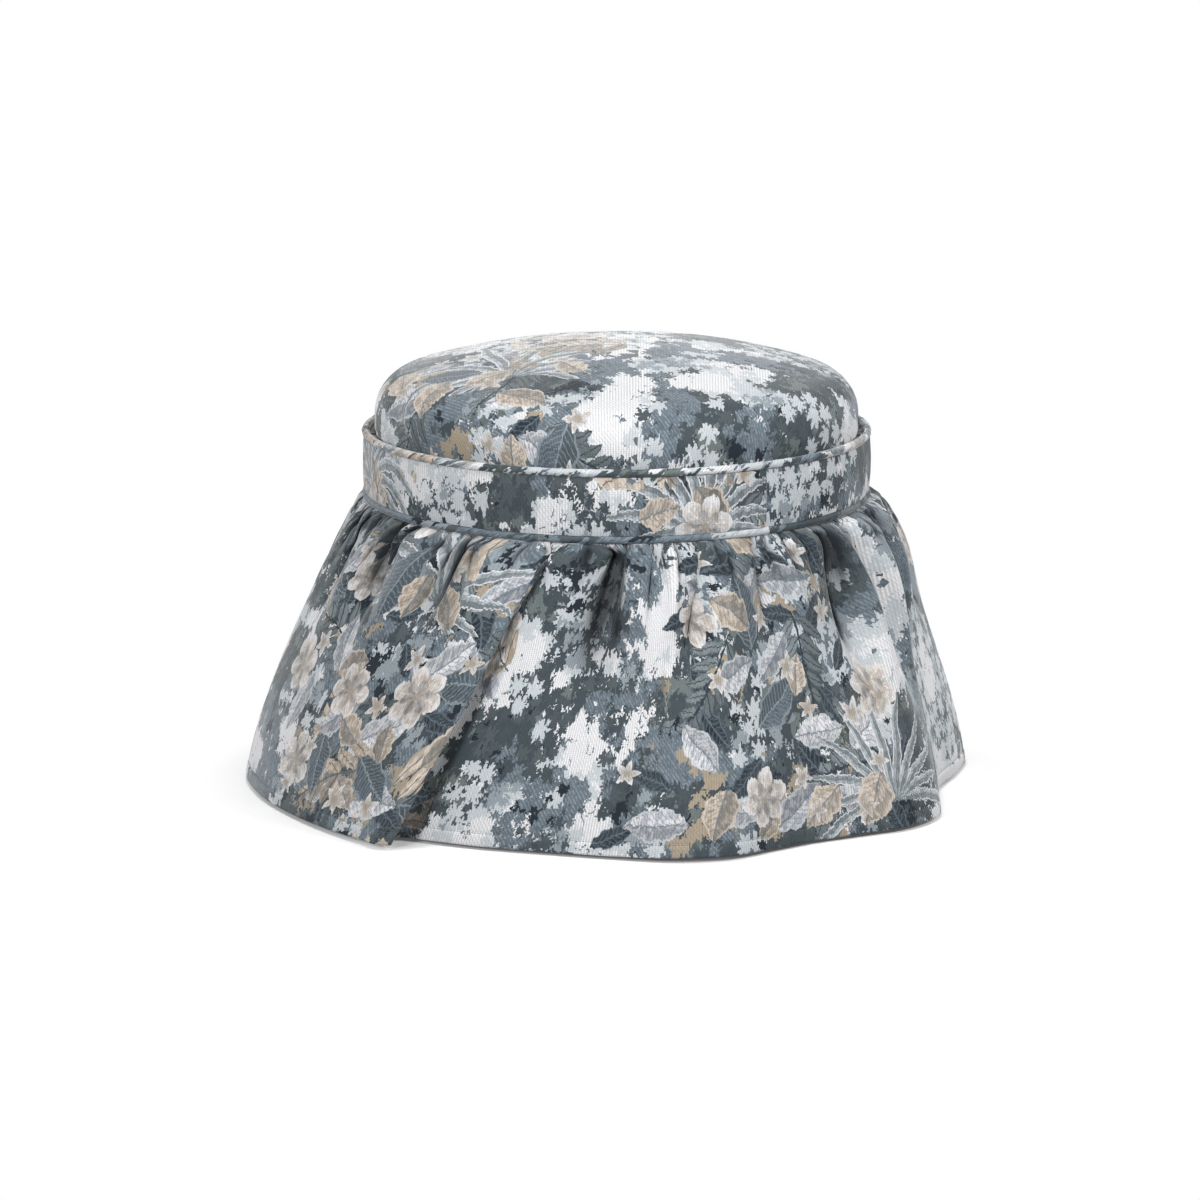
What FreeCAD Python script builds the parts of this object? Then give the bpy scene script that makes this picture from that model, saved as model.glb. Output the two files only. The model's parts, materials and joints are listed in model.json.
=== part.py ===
"""Round skirted storage ottoman: a padded lid that lifts off a lined drum with a gathered skirt.

Millimetres, +Z up. The origin is on the floor, on the drum's axis. The front faces -Y.
"""
import math
import os

import FreeCAD
import Part
from FreeCAD import Vector

# Gaps between pieces
SEAT_GAP = 0.3              # between soft layers, and between the lid and its seat
FRAME_GAP = 0.2             # between the bent wall and the boards inside it
SCREW_GAP = 0.15            # around a screw in its hole
SEAM_GAP = 0.3              # between the edges of two skirt panels

# Feet and dust cover
FOOT_COUNT = 4
FOOT_HEIGHT = 14.0
FOOT_TOP_RADIUS = 22.0
FOOT_BASE_RADIUS = 18.0
FOOT_EDGE = 2.0
FOOT_INSET = 42.0           # from the drum's outside to a foot's axis
FOOT_RECESS_RADIUS = 7.0
FOOT_RECESS_DEPTH = 5.0
DUST_COVER_THICKNESS = 0.8

# Wooden drum
DRUM_RADIUS = 228.0         # outside of the bent wall
DRUM_HEIGHT = 322.0
WALL_THICKNESS = 4.0
BASE_THICKNESS = 15.0
RIM_THICKNESS = 18.0
RIM_WIDTH = 32.0
RIM_EDGE = 2.0
POST_COUNT = 6
POST_WIDTH = 40.0
POST_TURN = 30.0            # degrees from +X to the first post

# Cloth layers
FABRIC_THICKNESS = 1.2
LINING_THICKNESS = 1.2
LID_LINING_THICKNESS = 1.0
UNDER_COVER_THICKNESS = 1.0

# Upholstered band between the two welts
PADDING_THICKNESS = 12.7
BAND_HEIGHT = 57.5          # from the middle of one welt to the middle of the other
BAND_BULGE = 1.5
WELT_DIAMETER = 7.5
WELT_PROUD = 2.0            # how far a welt stands out of the band
WELT_FLANGE_WIDTH = 15.0    # the flat tail of the upper welt, on the rim

# Gathered skirt
SKIRT_THICKNESS = 2.2
SKIRT_FLARE = 102.0         # from the seam out to the hem's middle line
SKIRT_FLARE_CURVE = 1.42    # over 1 swells the skirt out near its seam
FOLD_REACH = 34.0           # how far the deepest fold leaves the hem's middle line
GATHER_REACH = 22.0         # how far the deepest gather lies back under the seam
GATHER_PUFF = 11.0          # how far the gathered cloth swells out under the seam
GATHER_LEVEL = 0.15         # share of the drop at which the gathers are fullest
HEM_CLEARANCE = 3.0
SKIRT_LEVELS = (0.0, 0.05, 0.12, 0.22, 0.38, 0.65, 1.0)
# Each crest or valley is (degrees round the hem from the front, degrees that it leans on the
# way up to the seam, share of FOLD_REACH that it stands out or lies back at the hem, share of
# GATHER_REACH that it does so under the seam).
SKIRT_PANELS = {
    "front": ((-29, 14, -0.32, 0.3), (-14, 11, -0.28, -0.8), (0, 6, 0.1, 0.5), (10, 3, 0.62, 0.5),
              (18, 0.5, 0.56, -0.7), (26, -1.5, 0.05, 0.5), (33, -2.5, -0.15, -0.6), (41, -3, 0.0, 0.5),
              (49, -2, 0.42, -1.0), (55, -1, 0.44, 0.7), (61, -2, 0.2, -0.5)),
    "right": ((67, -3, -0.3, 0.6), (75, -3, -0.72, -0.6), (84, -2, -0.5, 0.5), (92, 0, -0.2, -0.65),
              (101, 2, 0.28, 0.5), (112, 3, -0.25, -0.6), (122, 4, -0.4, 0.5), (133, 5, 0.12, -0.6)),
    "back": ((143, 6, 0.25, 0.5), (154, 6, -0.2, -0.65), (165, 6, -0.2, 0.5), (178, 7, 0.36, -0.6),
             (189, 7, 0.1, 0.5), (199, 7, -0.3, -0.65), (212, 7, -0.05, 0.5), (224, 7, 0.33, -0.6)),
    "left": ((235, 6, 0.02, 0.5), (245, 6, -0.25, -0.6), (256, 5, 0.12, 0.5), (266, 5, 0.31, -0.6),
             (274, 7, 0.31, 0.5), (282, 9, 0.35, -0.6), (289, 11, 0.37, 0.5), (297, 13, 0.37, -0.65),
             (304, 14, 0.45, 0.5), (312, 17, 0.59, -0.5), (321, 19, 0.9, 0.4)),
}
FULL_TURN = 360.0

# Lid
LID_REVEAL = 5.0            # from the upper welt to the side of the crown
LID_EDGE_RADIUS = 5.0
LID_TURN_UNDER = 27.0       # cloth pulled under the board and stapled
WADDING_THICKNESS = 6.0
LID_BOARD_THICKNESS = 15.0
FOAM_HEIGHT = 65.8
CROWN_SIDE_HEIGHT = 4.0     # straight side of the crown above the board
DOME_RADIUS = 700.0

# Blocks under the lid that keep it in the mouth of the drum
BLOCK_COUNT = 4
BLOCK_WIDTH = 60.0
BLOCK_DEPTH = 26.0
BLOCK_HEIGHT = 18.0
BLOCK_CLEARANCE = 2.0       # from a block to the lined wall
BLOCK_SCREW_SPACING = 34.0

# Countersunk wood screws: (shank diameter, head diameter, length)
FRAME_SCREW = (4.0, 8.0, 45.0)
FOOT_SCREW = (4.0, 8.0, 19.0)
BLOCK_SCREW = (3.5, 7.0, 28.0)
SCREW_TIP = 0.9             # of a screw's diameter, along its point

# Heights, from the floor up
BASE_BOTTOM = FOOT_HEIGHT + DUST_COVER_THICKNESS
BASE_TOP = BASE_BOTTOM + BASE_THICKNESS
RIM_TOP = BASE_BOTTOM + DRUM_HEIGHT
RIM_BOTTOM = RIM_TOP - RIM_THICKNESS
WELT_RADIUS = WELT_DIAMETER / 2
UPPER_WELT_Z = RIM_TOP + SEAT_GAP + WELT_RADIUS
LOWER_WELT_Z = UPPER_WELT_Z - BAND_HEIGHT
BAND_BOTTOM = LOWER_WELT_Z + WELT_RADIUS + SEAT_GAP
BAND_TOP = RIM_TOP - SEAT_GAP
SKIRT_TOP = LOWER_WELT_Z - WELT_RADIUS - SEAT_GAP
LID_SEAT = RIM_TOP + max(LINING_THICKNESS, FABRIC_THICKNESS) + SEAT_GAP
BOARD_BOTTOM = LID_SEAT + max(FABRIC_THICKNESS, LID_LINING_THICKNESS)
BOARD_TOP = BOARD_BOTTOM + LID_BOARD_THICKNESS
BLOCK_TOP = BOARD_BOTTOM - LID_LINING_THICKNESS
BLOCK_BOTTOM = BLOCK_TOP - BLOCK_HEIGHT

# Radii, from the drum's axis out
WALL_INSIDE = DRUM_RADIUS - WALL_THICKNESS
FRAME_RADIUS = WALL_INSIDE - FRAME_GAP
MOUTH_RADIUS = FRAME_RADIUS - RIM_WIDTH
WELL_RADIUS = MOUTH_RADIUS - SEAT_GAP - LINING_THICKNESS
FRAME_SCREW_RADIUS = (MOUTH_RADIUS + FRAME_RADIUS) / 2
FOOT_CIRCLE_RADIUS = DRUM_RADIUS - FOOT_INSET
PADDING_INSIDE = DRUM_RADIUS + SEAT_GAP
PADDING_OUTSIDE = PADDING_INSIDE + PADDING_THICKNESS
BAND_INSIDE = PADDING_OUTSIDE + SEAT_GAP
BAND_OUTSIDE = BAND_INSIDE + FABRIC_THICKNESS
WELT_RING_RADIUS = BAND_OUTSIDE + WELT_PROUD - WELT_RADIUS
WELT_FLANGE_INSIDE = WELT_RING_RADIUS - WELT_FLANGE_WIDTH
CROWN_RADIUS = WELT_RING_RADIUS - WELT_RADIUS - LID_REVEAL
BLOCK_OUTSIDE = WELL_RADIUS - BLOCK_CLEARANCE
BLOCK_INSIDE = BLOCK_OUTSIDE - BLOCK_DEPTH

# Layers of the crown, as depths below its outer surface
WADDING_DEPTH = FABRIC_THICKNESS + SEAT_GAP
FOAM_DEPTH = WADDING_DEPTH + WADDING_THICKNESS + SEAT_GAP
BOARD_RADIUS = CROWN_RADIUS - FOAM_DEPTH
CROWN_TOP = BOARD_TOP + FOAM_HEIGHT + FOAM_DEPTH
CROWN_SHOULDER_Z = BOARD_TOP + CROWN_SIDE_HEIGHT

AXIS = Vector(0, 0, 1)
ORIGIN = Vector(0, 0, 0)


class Outline:
    """A closed outline of lines and arcs in the plane of radius and height."""

    def __init__(self, radius, height):
        self.start = Vector(radius, 0, height)
        self.end = self.start
        self.edges = []

    def line(self, radius, height):
        """Draw a straight line to a point, or nothing where the point is already reached."""
        target = Vector(radius, 0, height)
        if (target - self.end).Length > 1e-6:
            self.edges.append(Part.makeLine(self.end, target))
            self.end = target
        return self

    def arc(self, centre, radius, height):
        """Draw the shorter arc about a centre to a point."""
        target = Vector(radius, 0, height)
        middle = Vector(centre[0], 0, centre[1])
        half_way = (self.end - middle) + (target - middle)
        half_way.normalize()
        through = middle + half_way * (self.end - middle).Length
        self.edges.append(Part.Arc(self.end, through, target).toShape())
        self.end = target
        return self

    def face(self):
        """Close the outline and fill it."""
        self.line(self.start.x, self.start.z)
        return Part.Face(Part.Wire(self.edges))

    def turned(self):
        """Turn the outline about the vertical axis into a solid."""
        return self.face().revolve(ORIGIN, AXIS, FULL_TURN)


def ring(inside, outside, bottom, top):
    """A plain ring or tube, or a disc where the inside radius is 0."""
    outline = Outline(inside, bottom).line(outside, bottom).line(outside, top).line(inside, top)
    return outline.turned()


def around(shape, degrees):
    """A copy of a shape, turned about the vertical axis."""
    copy = shape.copy()
    copy.rotate(ORIGIN, AXIS, degrees)
    return copy


def polar(radius, degrees, height):
    """The point at a radius, at an angle round the skirt from the front, at a height."""
    angle = math.radians(degrees)
    return Vector(radius * math.sin(angle), -radius * math.cos(angle), height)


def screw(size, clearance=0.0):
    """A countersunk screw that hangs from the origin, head up, or with clearance its hole."""
    shank_diameter, head_diameter, length = size
    shank = shank_diameter / 2 + clearance
    head = head_diameter / 2 + clearance
    tip = SCREW_TIP * shank_diameter
    outline = Outline(0, clearance).line(head, clearance).line(head, 0)
    outline.line(shank, -(head - shank)).line(shank, tip - length)
    return outline.line(0, -length - clearance).turned()


def screw_at(size, radius, degrees, height, upward=False, clearance=0.0):
    """A screw, or its hole, set at a place, driven down from its head or upward."""
    placed = screw(size, clearance)
    if upward:
        placed.rotate(ORIGIN, Vector(1, 0, 0), 180)
    placed.translate(Vector(radius, 0, height))
    return around(placed, degrees)


def angles(count, first):
    """Evenly spaced angles round the axis."""
    return [first + i * FULL_TURN / count for i in range(count)]


POST_ANGLES = angles(POST_COUNT, POST_TURN)
FOOT_ANGLES = angles(FOOT_COUNT, FULL_TURN / FOOT_COUNT / 2)
BLOCK_ANGLES = angles(BLOCK_COUNT, 0.0)


def rim_screws(clearance=0.0):
    """Screws down through the rim into the posts."""
    return [screw_at(FRAME_SCREW, FRAME_SCREW_RADIUS, a, RIM_TOP, False, clearance) for a in POST_ANGLES]


def base_screws(clearance=0.0):
    """Screws up through the base into the posts."""
    return [screw_at(FRAME_SCREW, FRAME_SCREW_RADIUS, a, BASE_BOTTOM, True, clearance) for a in POST_ANGLES]


def foot_screws(clearance=0.0):
    """Screws up through the feet into the base."""
    height = FOOT_RECESS_DEPTH
    return [screw_at(FOOT_SCREW, FOOT_CIRCLE_RADIUS, a, height, True, clearance) for a in FOOT_ANGLES]


def block_screws(clearance=0.0):
    """Two screws up through each block into the lid board."""
    radius = (BLOCK_INSIDE + BLOCK_OUTSIDE) / 2
    found = []
    for angle in BLOCK_ANGLES:
        for side in (-1, 1):
            placed = screw_at(BLOCK_SCREW, radius, 0, BLOCK_BOTTOM, True, clearance)
            placed.translate(Vector(0, side * BLOCK_SCREW_SPACING / 2, 0))
            found.append(around(placed, angle))
    return found


def drilled(shape, holes):
    """A shape with screw holes cut out of it."""
    return shape.cut(holes)


def sector_block(inside, outside, width, bottom, top):
    """A block on +X of a given width, with its two long faces curved to the drum."""
    blank = Part.makeBox(outside, width, top - bottom, Vector(0, -width / 2, bottom))
    return ring(inside, outside, bottom, top).common(blank)


def base_panel():
    """Round board in the bottom of the drum."""
    board = ring(0, FRAME_RADIUS, BASE_BOTTOM, BASE_TOP)
    return drilled(board, base_screws(SCREW_GAP) + foot_screws(SCREW_GAP))


def rim_ring():
    """Ring that the lid sits on, with its mouth's edges eased."""
    outline = Outline(MOUTH_RADIUS, RIM_BOTTOM + RIM_EDGE)
    outline.arc((MOUTH_RADIUS + RIM_EDGE, RIM_BOTTOM + RIM_EDGE), MOUTH_RADIUS + RIM_EDGE, RIM_BOTTOM)
    outline.line(FRAME_RADIUS, RIM_BOTTOM).line(FRAME_RADIUS, RIM_TOP)
    outline.line(MOUTH_RADIUS + RIM_EDGE, RIM_TOP)
    outline.arc((MOUTH_RADIUS + RIM_EDGE, RIM_TOP - RIM_EDGE), MOUTH_RADIUS, RIM_TOP - RIM_EDGE)
    return drilled(outline.turned(), rim_screws(SCREW_GAP))


def frame_posts():
    """Battens that join the base to the rim."""
    blank = sector_block(MOUTH_RADIUS, FRAME_RADIUS, POST_WIDTH, BASE_TOP, RIM_BOTTOM)
    holes = rim_screws(SCREW_GAP) + base_screws(SCREW_GAP)
    posts = [drilled(around(blank, angle), holes) for angle in POST_ANGLES]
    return {f"frame_post_{i + 1}": post for i, post in enumerate(posts)}


def feet():
    """Tapered glides with a recess for the screw's head."""
    outline = Outline(0, 0).line(FOOT_BASE_RADIUS - FOOT_EDGE, 0).line(FOOT_BASE_RADIUS, FOOT_EDGE)
    outline.line(FOOT_TOP_RADIUS, FOOT_HEIGHT).line(0, FOOT_HEIGHT)
    recess = ring(0, FOOT_RECESS_RADIUS, 0, FOOT_RECESS_DEPTH)
    blank = outline.turned().cut(recess)
    blank.translate(Vector(FOOT_CIRCLE_RADIUS, 0, 0))
    holes = foot_screws(SCREW_GAP)
    made = [drilled(around(blank, angle), holes) for angle in FOOT_ANGLES]
    return {f"foot_{i + 1}": foot for i, foot in enumerate(made)}


def dust_cover():
    """Thin cloth under the base, between it and the feet."""
    cloth = ring(0, DRUM_RADIUS, FOOT_HEIGHT, BASE_BOTTOM)
    return drilled(cloth, foot_screws(SCREW_GAP))


def well_lining():
    """Lining of the storage well's wall, up to the top of the rim."""
    return ring(WELL_RADIUS, WELL_RADIUS + LINING_THICKNESS, BASE_TOP, RIM_TOP + LINING_THICKNESS)


def rim_cover():
    """Strip of lining on the rim, from the well's lining out to the welt's tail."""
    inside = WELL_RADIUS + LINING_THICKNESS + SEAT_GAP
    return ring(inside, WELT_FLANGE_INSIDE - SEAT_GAP, RIM_TOP, RIM_TOP + LINING_THICKNESS)


def band_layer(inside, outside, bulge_inside):
    """A layer of the padded band, bulged between the welts, flat or bulged on its inside."""
    middle_z = (BAND_BOTTOM + BAND_TOP) / 2
    corners = [Vector(outside, 0, BAND_BOTTOM), Vector(outside, 0, BAND_TOP)]
    edges = [Part.Arc(corners[0], Vector(outside + BAND_BULGE, 0, middle_z), corners[1]).toShape()]
    inner = [Vector(inside, 0, BAND_TOP), Vector(inside, 0, BAND_BOTTOM)]
    edges.append(Part.makeLine(corners[1], inner[0]))
    if bulge_inside:
        edges.append(Part.Arc(inner[0], Vector(inside + BAND_BULGE, 0, middle_z), inner[1]).toShape())
    else:
        edges.append(Part.makeLine(inner[0], inner[1]))
    edges.append(Part.makeLine(inner[1], corners[0]))
    return Part.Face(Part.Wire(edges)).revolve(ORIGIN, AXIS, FULL_TURN)


def welt_cord(height):
    """Round cord inside a welt."""
    return Part.makeTorus(WELT_RING_RADIUS, WELT_RADIUS - FABRIC_THICKNESS - SEAT_GAP, Vector(0, 0, height))


def welt_cover(height, tail_inside, tail_bottom):
    """Cloth sleeve round a welt's cord, with the flat tail that is sewn into the seam."""
    sleeve = Part.makeTorus(WELT_RING_RADIUS, WELT_RADIUS, Vector(0, 0, height))
    bore = Part.makeTorus(WELT_RING_RADIUS, WELT_RADIUS - FABRIC_THICKNESS, Vector(0, 0, height))
    tail = ring(tail_inside, WELT_RING_RADIUS, tail_bottom, tail_bottom + FABRIC_THICKNESS)
    return sleeve.fuse(tail).cut(bore)


def skirt_stations(level):
    """Crests and valleys in order round one level: (panel, degrees, radius to the cloth's middle)."""
    gathered = level / GATHER_LEVEL * math.exp(1 - level / GATHER_LEVEL)
    middle = WELT_RING_RADIUS + SKIRT_FLARE * (1 - (1 - level) ** SKIRT_FLARE_CURVE) + GATHER_PUFF * gathered
    stations = []
    for panel, folds in SKIRT_PANELS.items():
        for degrees, lean, at_hem, at_seam in folds:
            radius = middle + at_hem * FOLD_REACH * level + at_seam * GATHER_REACH * gathered
            stations.append((panel, degrees + lean * (1 - level), radius))
    return stations


def half_way(first, second):
    """The station half way from one station to the next."""
    return tuple((a + b) / 2 for a, b in zip(first, second))


def skirt_wire(panel, level):
    """The cut edge of one skirt panel at one level: outer arcs, inner arcs and two short ends."""
    stations = skirt_stations(level)
    count = len(stations)
    mine = [i for i in range(count) if stations[i][0] == panel]
    line = []
    for i in range(mine[0] - 1, mine[-1] + 2):
        turns = i // count
        _, degrees, radius = stations[i - turns * count]
        line.append((degrees + turns * FULL_TURN, radius))
    joins = [half_way(a, b) for a, b in zip(line, line[1:])]
    height = SKIRT_TOP - level * (SKIRT_TOP - HEM_CLEARANCE)
    trim = math.degrees(SEAM_GAP / 2 / joins[0][1])
    joins[0] = (joins[0][0] + trim, joins[0][1])
    joins[-1] = (joins[-1][0] - trim, joins[-1][1])

    def place(station, side):
        return polar(station[1] + side * SKIRT_THICKNESS / 2, station[0], height)

    triples = list(zip(joins, line[1:-1], joins[1:]))
    outer = [Part.Arc(*[place(s, 1) for s in triple]).toShape() for triple in triples]
    inner = [Part.Arc(*[place(s, -1) for s in reversed(triple)]).toShape() for triple in reversed(triples)]
    far_end = Part.makeLine(place(joins[-1], 1), place(joins[-1], -1))
    near_end = Part.makeLine(place(joins[0], -1), place(joins[0], 1))
    return Part.Wire(outer + [far_end] + inner + [near_end])


def skirt_panels():
    """The skirt, sewn from panels that are gathered at the seam and fall in wider folds to the hem."""
    made = {}
    for panel in SKIRT_PANELS:
        wires = [skirt_wire(panel, level) for level in SKIRT_LEVELS]
        made[f"skirt_panel_{panel}"] = Part.makeLoft(wires, True, False)
    return made


def crown_arcs(depth):
    """Shoulder and dome of a layer of the crown: (shoulder centre, tangent point, top)."""
    dome_z = CROWN_TOP - DOME_RADIUS
    rise = CROWN_SHOULDER_Z - dome_z
    shoulder = (DOME_RADIUS**2 - CROWN_RADIUS**2 - rise**2) / (2 * (DOME_RADIUS - CROWN_RADIUS))
    centre = (CROWN_RADIUS - shoulder, CROWN_SHOULDER_Z)
    angle = math.atan2(rise, centre[0])
    reach = DOME_RADIUS - depth
    tangent = (reach * math.cos(angle), dome_z + reach * math.sin(angle))
    return centre, tangent, (0, dome_z), CROWN_TOP - depth


def draw_crown(outline, depth, upward):
    """Draw a layer's surface from its side up to the axis, or from the axis down to its side."""
    centre, tangent, dome_centre, top = crown_arcs(depth)
    if upward:
        return outline.arc(centre, *tangent).arc(dome_centre, 0, top)
    outline.line(0, top).arc(dome_centre, *tangent)
    return outline.arc(centre, CROWN_RADIUS - depth, CROWN_SHOULDER_Z)


def lid_cover():
    """Cloth over the crown, pulled round the edge and under the board."""
    turn_end = CROWN_RADIUS - LID_EDGE_RADIUS - LID_TURN_UNDER
    corner = (CROWN_RADIUS - LID_EDGE_RADIUS, LID_SEAT + LID_EDGE_RADIUS)
    inside = CROWN_RADIUS - FABRIC_THICKNESS
    outline = Outline(turn_end, LID_SEAT).line(corner[0], LID_SEAT)
    outline.arc(corner, CROWN_RADIUS, corner[1]).line(CROWN_RADIUS, CROWN_SHOULDER_Z)
    draw_crown(outline, 0, True)
    draw_crown(outline, FABRIC_THICKNESS, False)
    outline.line(inside, corner[1]).arc(corner, corner[0], LID_SEAT + FABRIC_THICKNESS)
    return outline.line(turn_end, LID_SEAT + FABRIC_THICKNESS).turned()


def lid_wadding():
    """Soft layer between the foam and the cover, down round the edge of the board."""
    bottom = LID_SEAT + LID_EDGE_RADIUS
    inner_depth = WADDING_DEPTH + WADDING_THICKNESS
    outline = Outline(CROWN_RADIUS - inner_depth, bottom).line(CROWN_RADIUS - WADDING_DEPTH, bottom)
    outline.line(CROWN_RADIUS - WADDING_DEPTH, CROWN_SHOULDER_Z)
    draw_crown(outline, WADDING_DEPTH, True)
    return draw_crown(outline, inner_depth, False).turned()


def lid_foam():
    """Domed block of foam on the board."""
    outline = Outline(0, BOARD_TOP).line(BOARD_RADIUS, BOARD_TOP).line(BOARD_RADIUS, CROWN_SHOULDER_Z)
    return draw_crown(outline, FOAM_DEPTH, True).turned()


def lid_board():
    """Round board that carries the crown."""
    return drilled(ring(0, BOARD_RADIUS, BOARD_BOTTOM, BOARD_TOP), block_screws(SCREW_GAP))


def lid_lining():
    """Cloth disc under the board, inside the turned-under edge of the cover."""
    radius = CROWN_RADIUS - LID_EDGE_RADIUS - LID_TURN_UNDER - SEAT_GAP
    return drilled(ring(0, radius, BLOCK_TOP, BOARD_BOTTOM), block_screws(SCREW_GAP))


def lid_blocks():
    """Blocks that drop into the mouth of the drum and keep the lid in place."""
    blank = sector_block(BLOCK_INSIDE, BLOCK_OUTSIDE, BLOCK_WIDTH, BLOCK_BOTTOM, BLOCK_TOP)
    holes = block_screws(SCREW_GAP)
    made = [drilled(around(blank, angle), holes) for angle in BLOCK_ANGLES]
    return {f"lid_block_{i + 1}": block for i, block in enumerate(made)}


def drum_nodes():
    """Everything that stands on the floor."""
    nodes = {
        "base_panel": base_panel(),
        "rim_ring": rim_ring(),
        "drum_wall": ring(WALL_INSIDE, DRUM_RADIUS, BASE_BOTTOM, RIM_TOP),
        "dust_cover": dust_cover(),
        "well_lining": well_lining(),
        "rim_cover": rim_cover(),
        "well_floor_lining": ring(0, WELL_RADIUS - SEAT_GAP, BASE_TOP, BASE_TOP + LINING_THICKNESS),
        "rim_screws": Part.makeCompound(rim_screws()),
        "base_screws": Part.makeCompound(base_screws()),
        "foot_screws": Part.makeCompound(foot_screws()),
        "band_padding": band_layer(PADDING_INSIDE, PADDING_OUTSIDE, False),
        "band_cover": band_layer(BAND_INSIDE, BAND_OUTSIDE, True),
        "upper_welt_cord": welt_cord(UPPER_WELT_Z),
        "upper_welt_cover": welt_cover(UPPER_WELT_Z, WELT_FLANGE_INSIDE, RIM_TOP),
        "lower_welt_cord": welt_cord(LOWER_WELT_Z),
    }
    tail_bottom = LOWER_WELT_Z - FABRIC_THICKNESS / 2
    nodes["lower_welt_cover"] = welt_cover(LOWER_WELT_Z, PADDING_INSIDE, tail_bottom)
    under_outside = PADDING_INSIDE + UNDER_COVER_THICKNESS
    nodes["drum_under_cover"] = ring(PADDING_INSIDE, under_outside, BASE_BOTTOM, tail_bottom - SEAT_GAP)
    nodes.update(frame_posts())
    nodes.update(feet())
    nodes.update(skirt_panels())
    return nodes


def lid_nodes():
    """Everything that lifts off."""
    nodes = {
        "lid_board": lid_board(),
        "lid_foam": lid_foam(),
        "lid_wadding": lid_wadding(),
        "lid_cover": lid_cover(),
        "lid_lining": lid_lining(),
        "lid_block_screws": Part.makeCompound(block_screws()),
    }
    nodes.update(lid_blocks())
    return nodes


def main():
    """Build every node and write its STEP file."""
    os.makedirs("parts", exist_ok=True)
    for name, shape in {**drum_nodes(), **lid_nodes()}.items():
        if not shape.isValid() or not all(solid.Volume > 0 for solid in shape.Solids):
            print("check", name, shape.isValid(), [round(solid.Volume) for solid in shape.Solids])
        shape.exportStep(os.path.join("parts", name + ".step"))


main()
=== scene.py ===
"""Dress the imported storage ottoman: woven cover, gathered skirt, welts, linings and studio.

Metres, +Z up, the front faces -Y. Angles round the drum are degrees from the front, + to the right.
"""
from __future__ import annotations

import json
import logging
import math
from dataclasses import dataclass
from enum import Enum
from typing import Sequence, Union

import bmesh
import bpy
import numpy as np
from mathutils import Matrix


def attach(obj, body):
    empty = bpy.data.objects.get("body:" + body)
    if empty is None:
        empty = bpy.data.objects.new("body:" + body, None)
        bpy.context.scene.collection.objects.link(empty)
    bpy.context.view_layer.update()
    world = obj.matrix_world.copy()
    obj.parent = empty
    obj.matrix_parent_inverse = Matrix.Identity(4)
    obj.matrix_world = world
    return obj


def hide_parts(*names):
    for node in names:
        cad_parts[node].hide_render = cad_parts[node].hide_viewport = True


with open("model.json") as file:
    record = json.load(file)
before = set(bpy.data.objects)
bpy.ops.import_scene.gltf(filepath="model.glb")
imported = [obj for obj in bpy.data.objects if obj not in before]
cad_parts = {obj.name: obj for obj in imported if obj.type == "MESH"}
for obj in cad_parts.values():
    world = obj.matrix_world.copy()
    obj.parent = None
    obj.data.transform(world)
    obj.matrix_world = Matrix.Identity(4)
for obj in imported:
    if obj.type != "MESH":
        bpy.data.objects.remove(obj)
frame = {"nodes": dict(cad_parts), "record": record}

LOG = logging.getLogger("ottoman")
MM = 0.001
TURN = 2 * math.pi
CLOTH_UV = "cloth"
# Mesh attribute of painted shade: how far the skirt's cloth is darkened in its creases and gathers
CREASE_SHADE = "crease"
WELD = 1e-6

Colour = tuple[float, float, float, float]


class Body(Enum):
    """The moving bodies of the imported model."""

    BASE = "base"
    LID = "lid"


class Slot(Enum):
    """The record's material slots."""

    COVER = "cover_fabric"
    LINING = "lining_fabric"
    UNDER = "under_fabric"
    CORD = "cord"
    STEEL = "screw_steel"


def linear(code: str) -> Colour:
    """Turn a colour code into linear light.

    Args:
        code: Six hexadecimal digits, red first.

    Returns:
        Red, green, blue and an alpha of 1.
    """
    parts = [int(code[i : i + 2], 16) / 255 for i in (0, 2, 4)]
    light = [c / 12.92 if c <= 0.04045 else ((c + 0.055) / 1.055) ** 2.4 for c in parts]
    return (light[0], light[1], light[2], 1.0)


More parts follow.
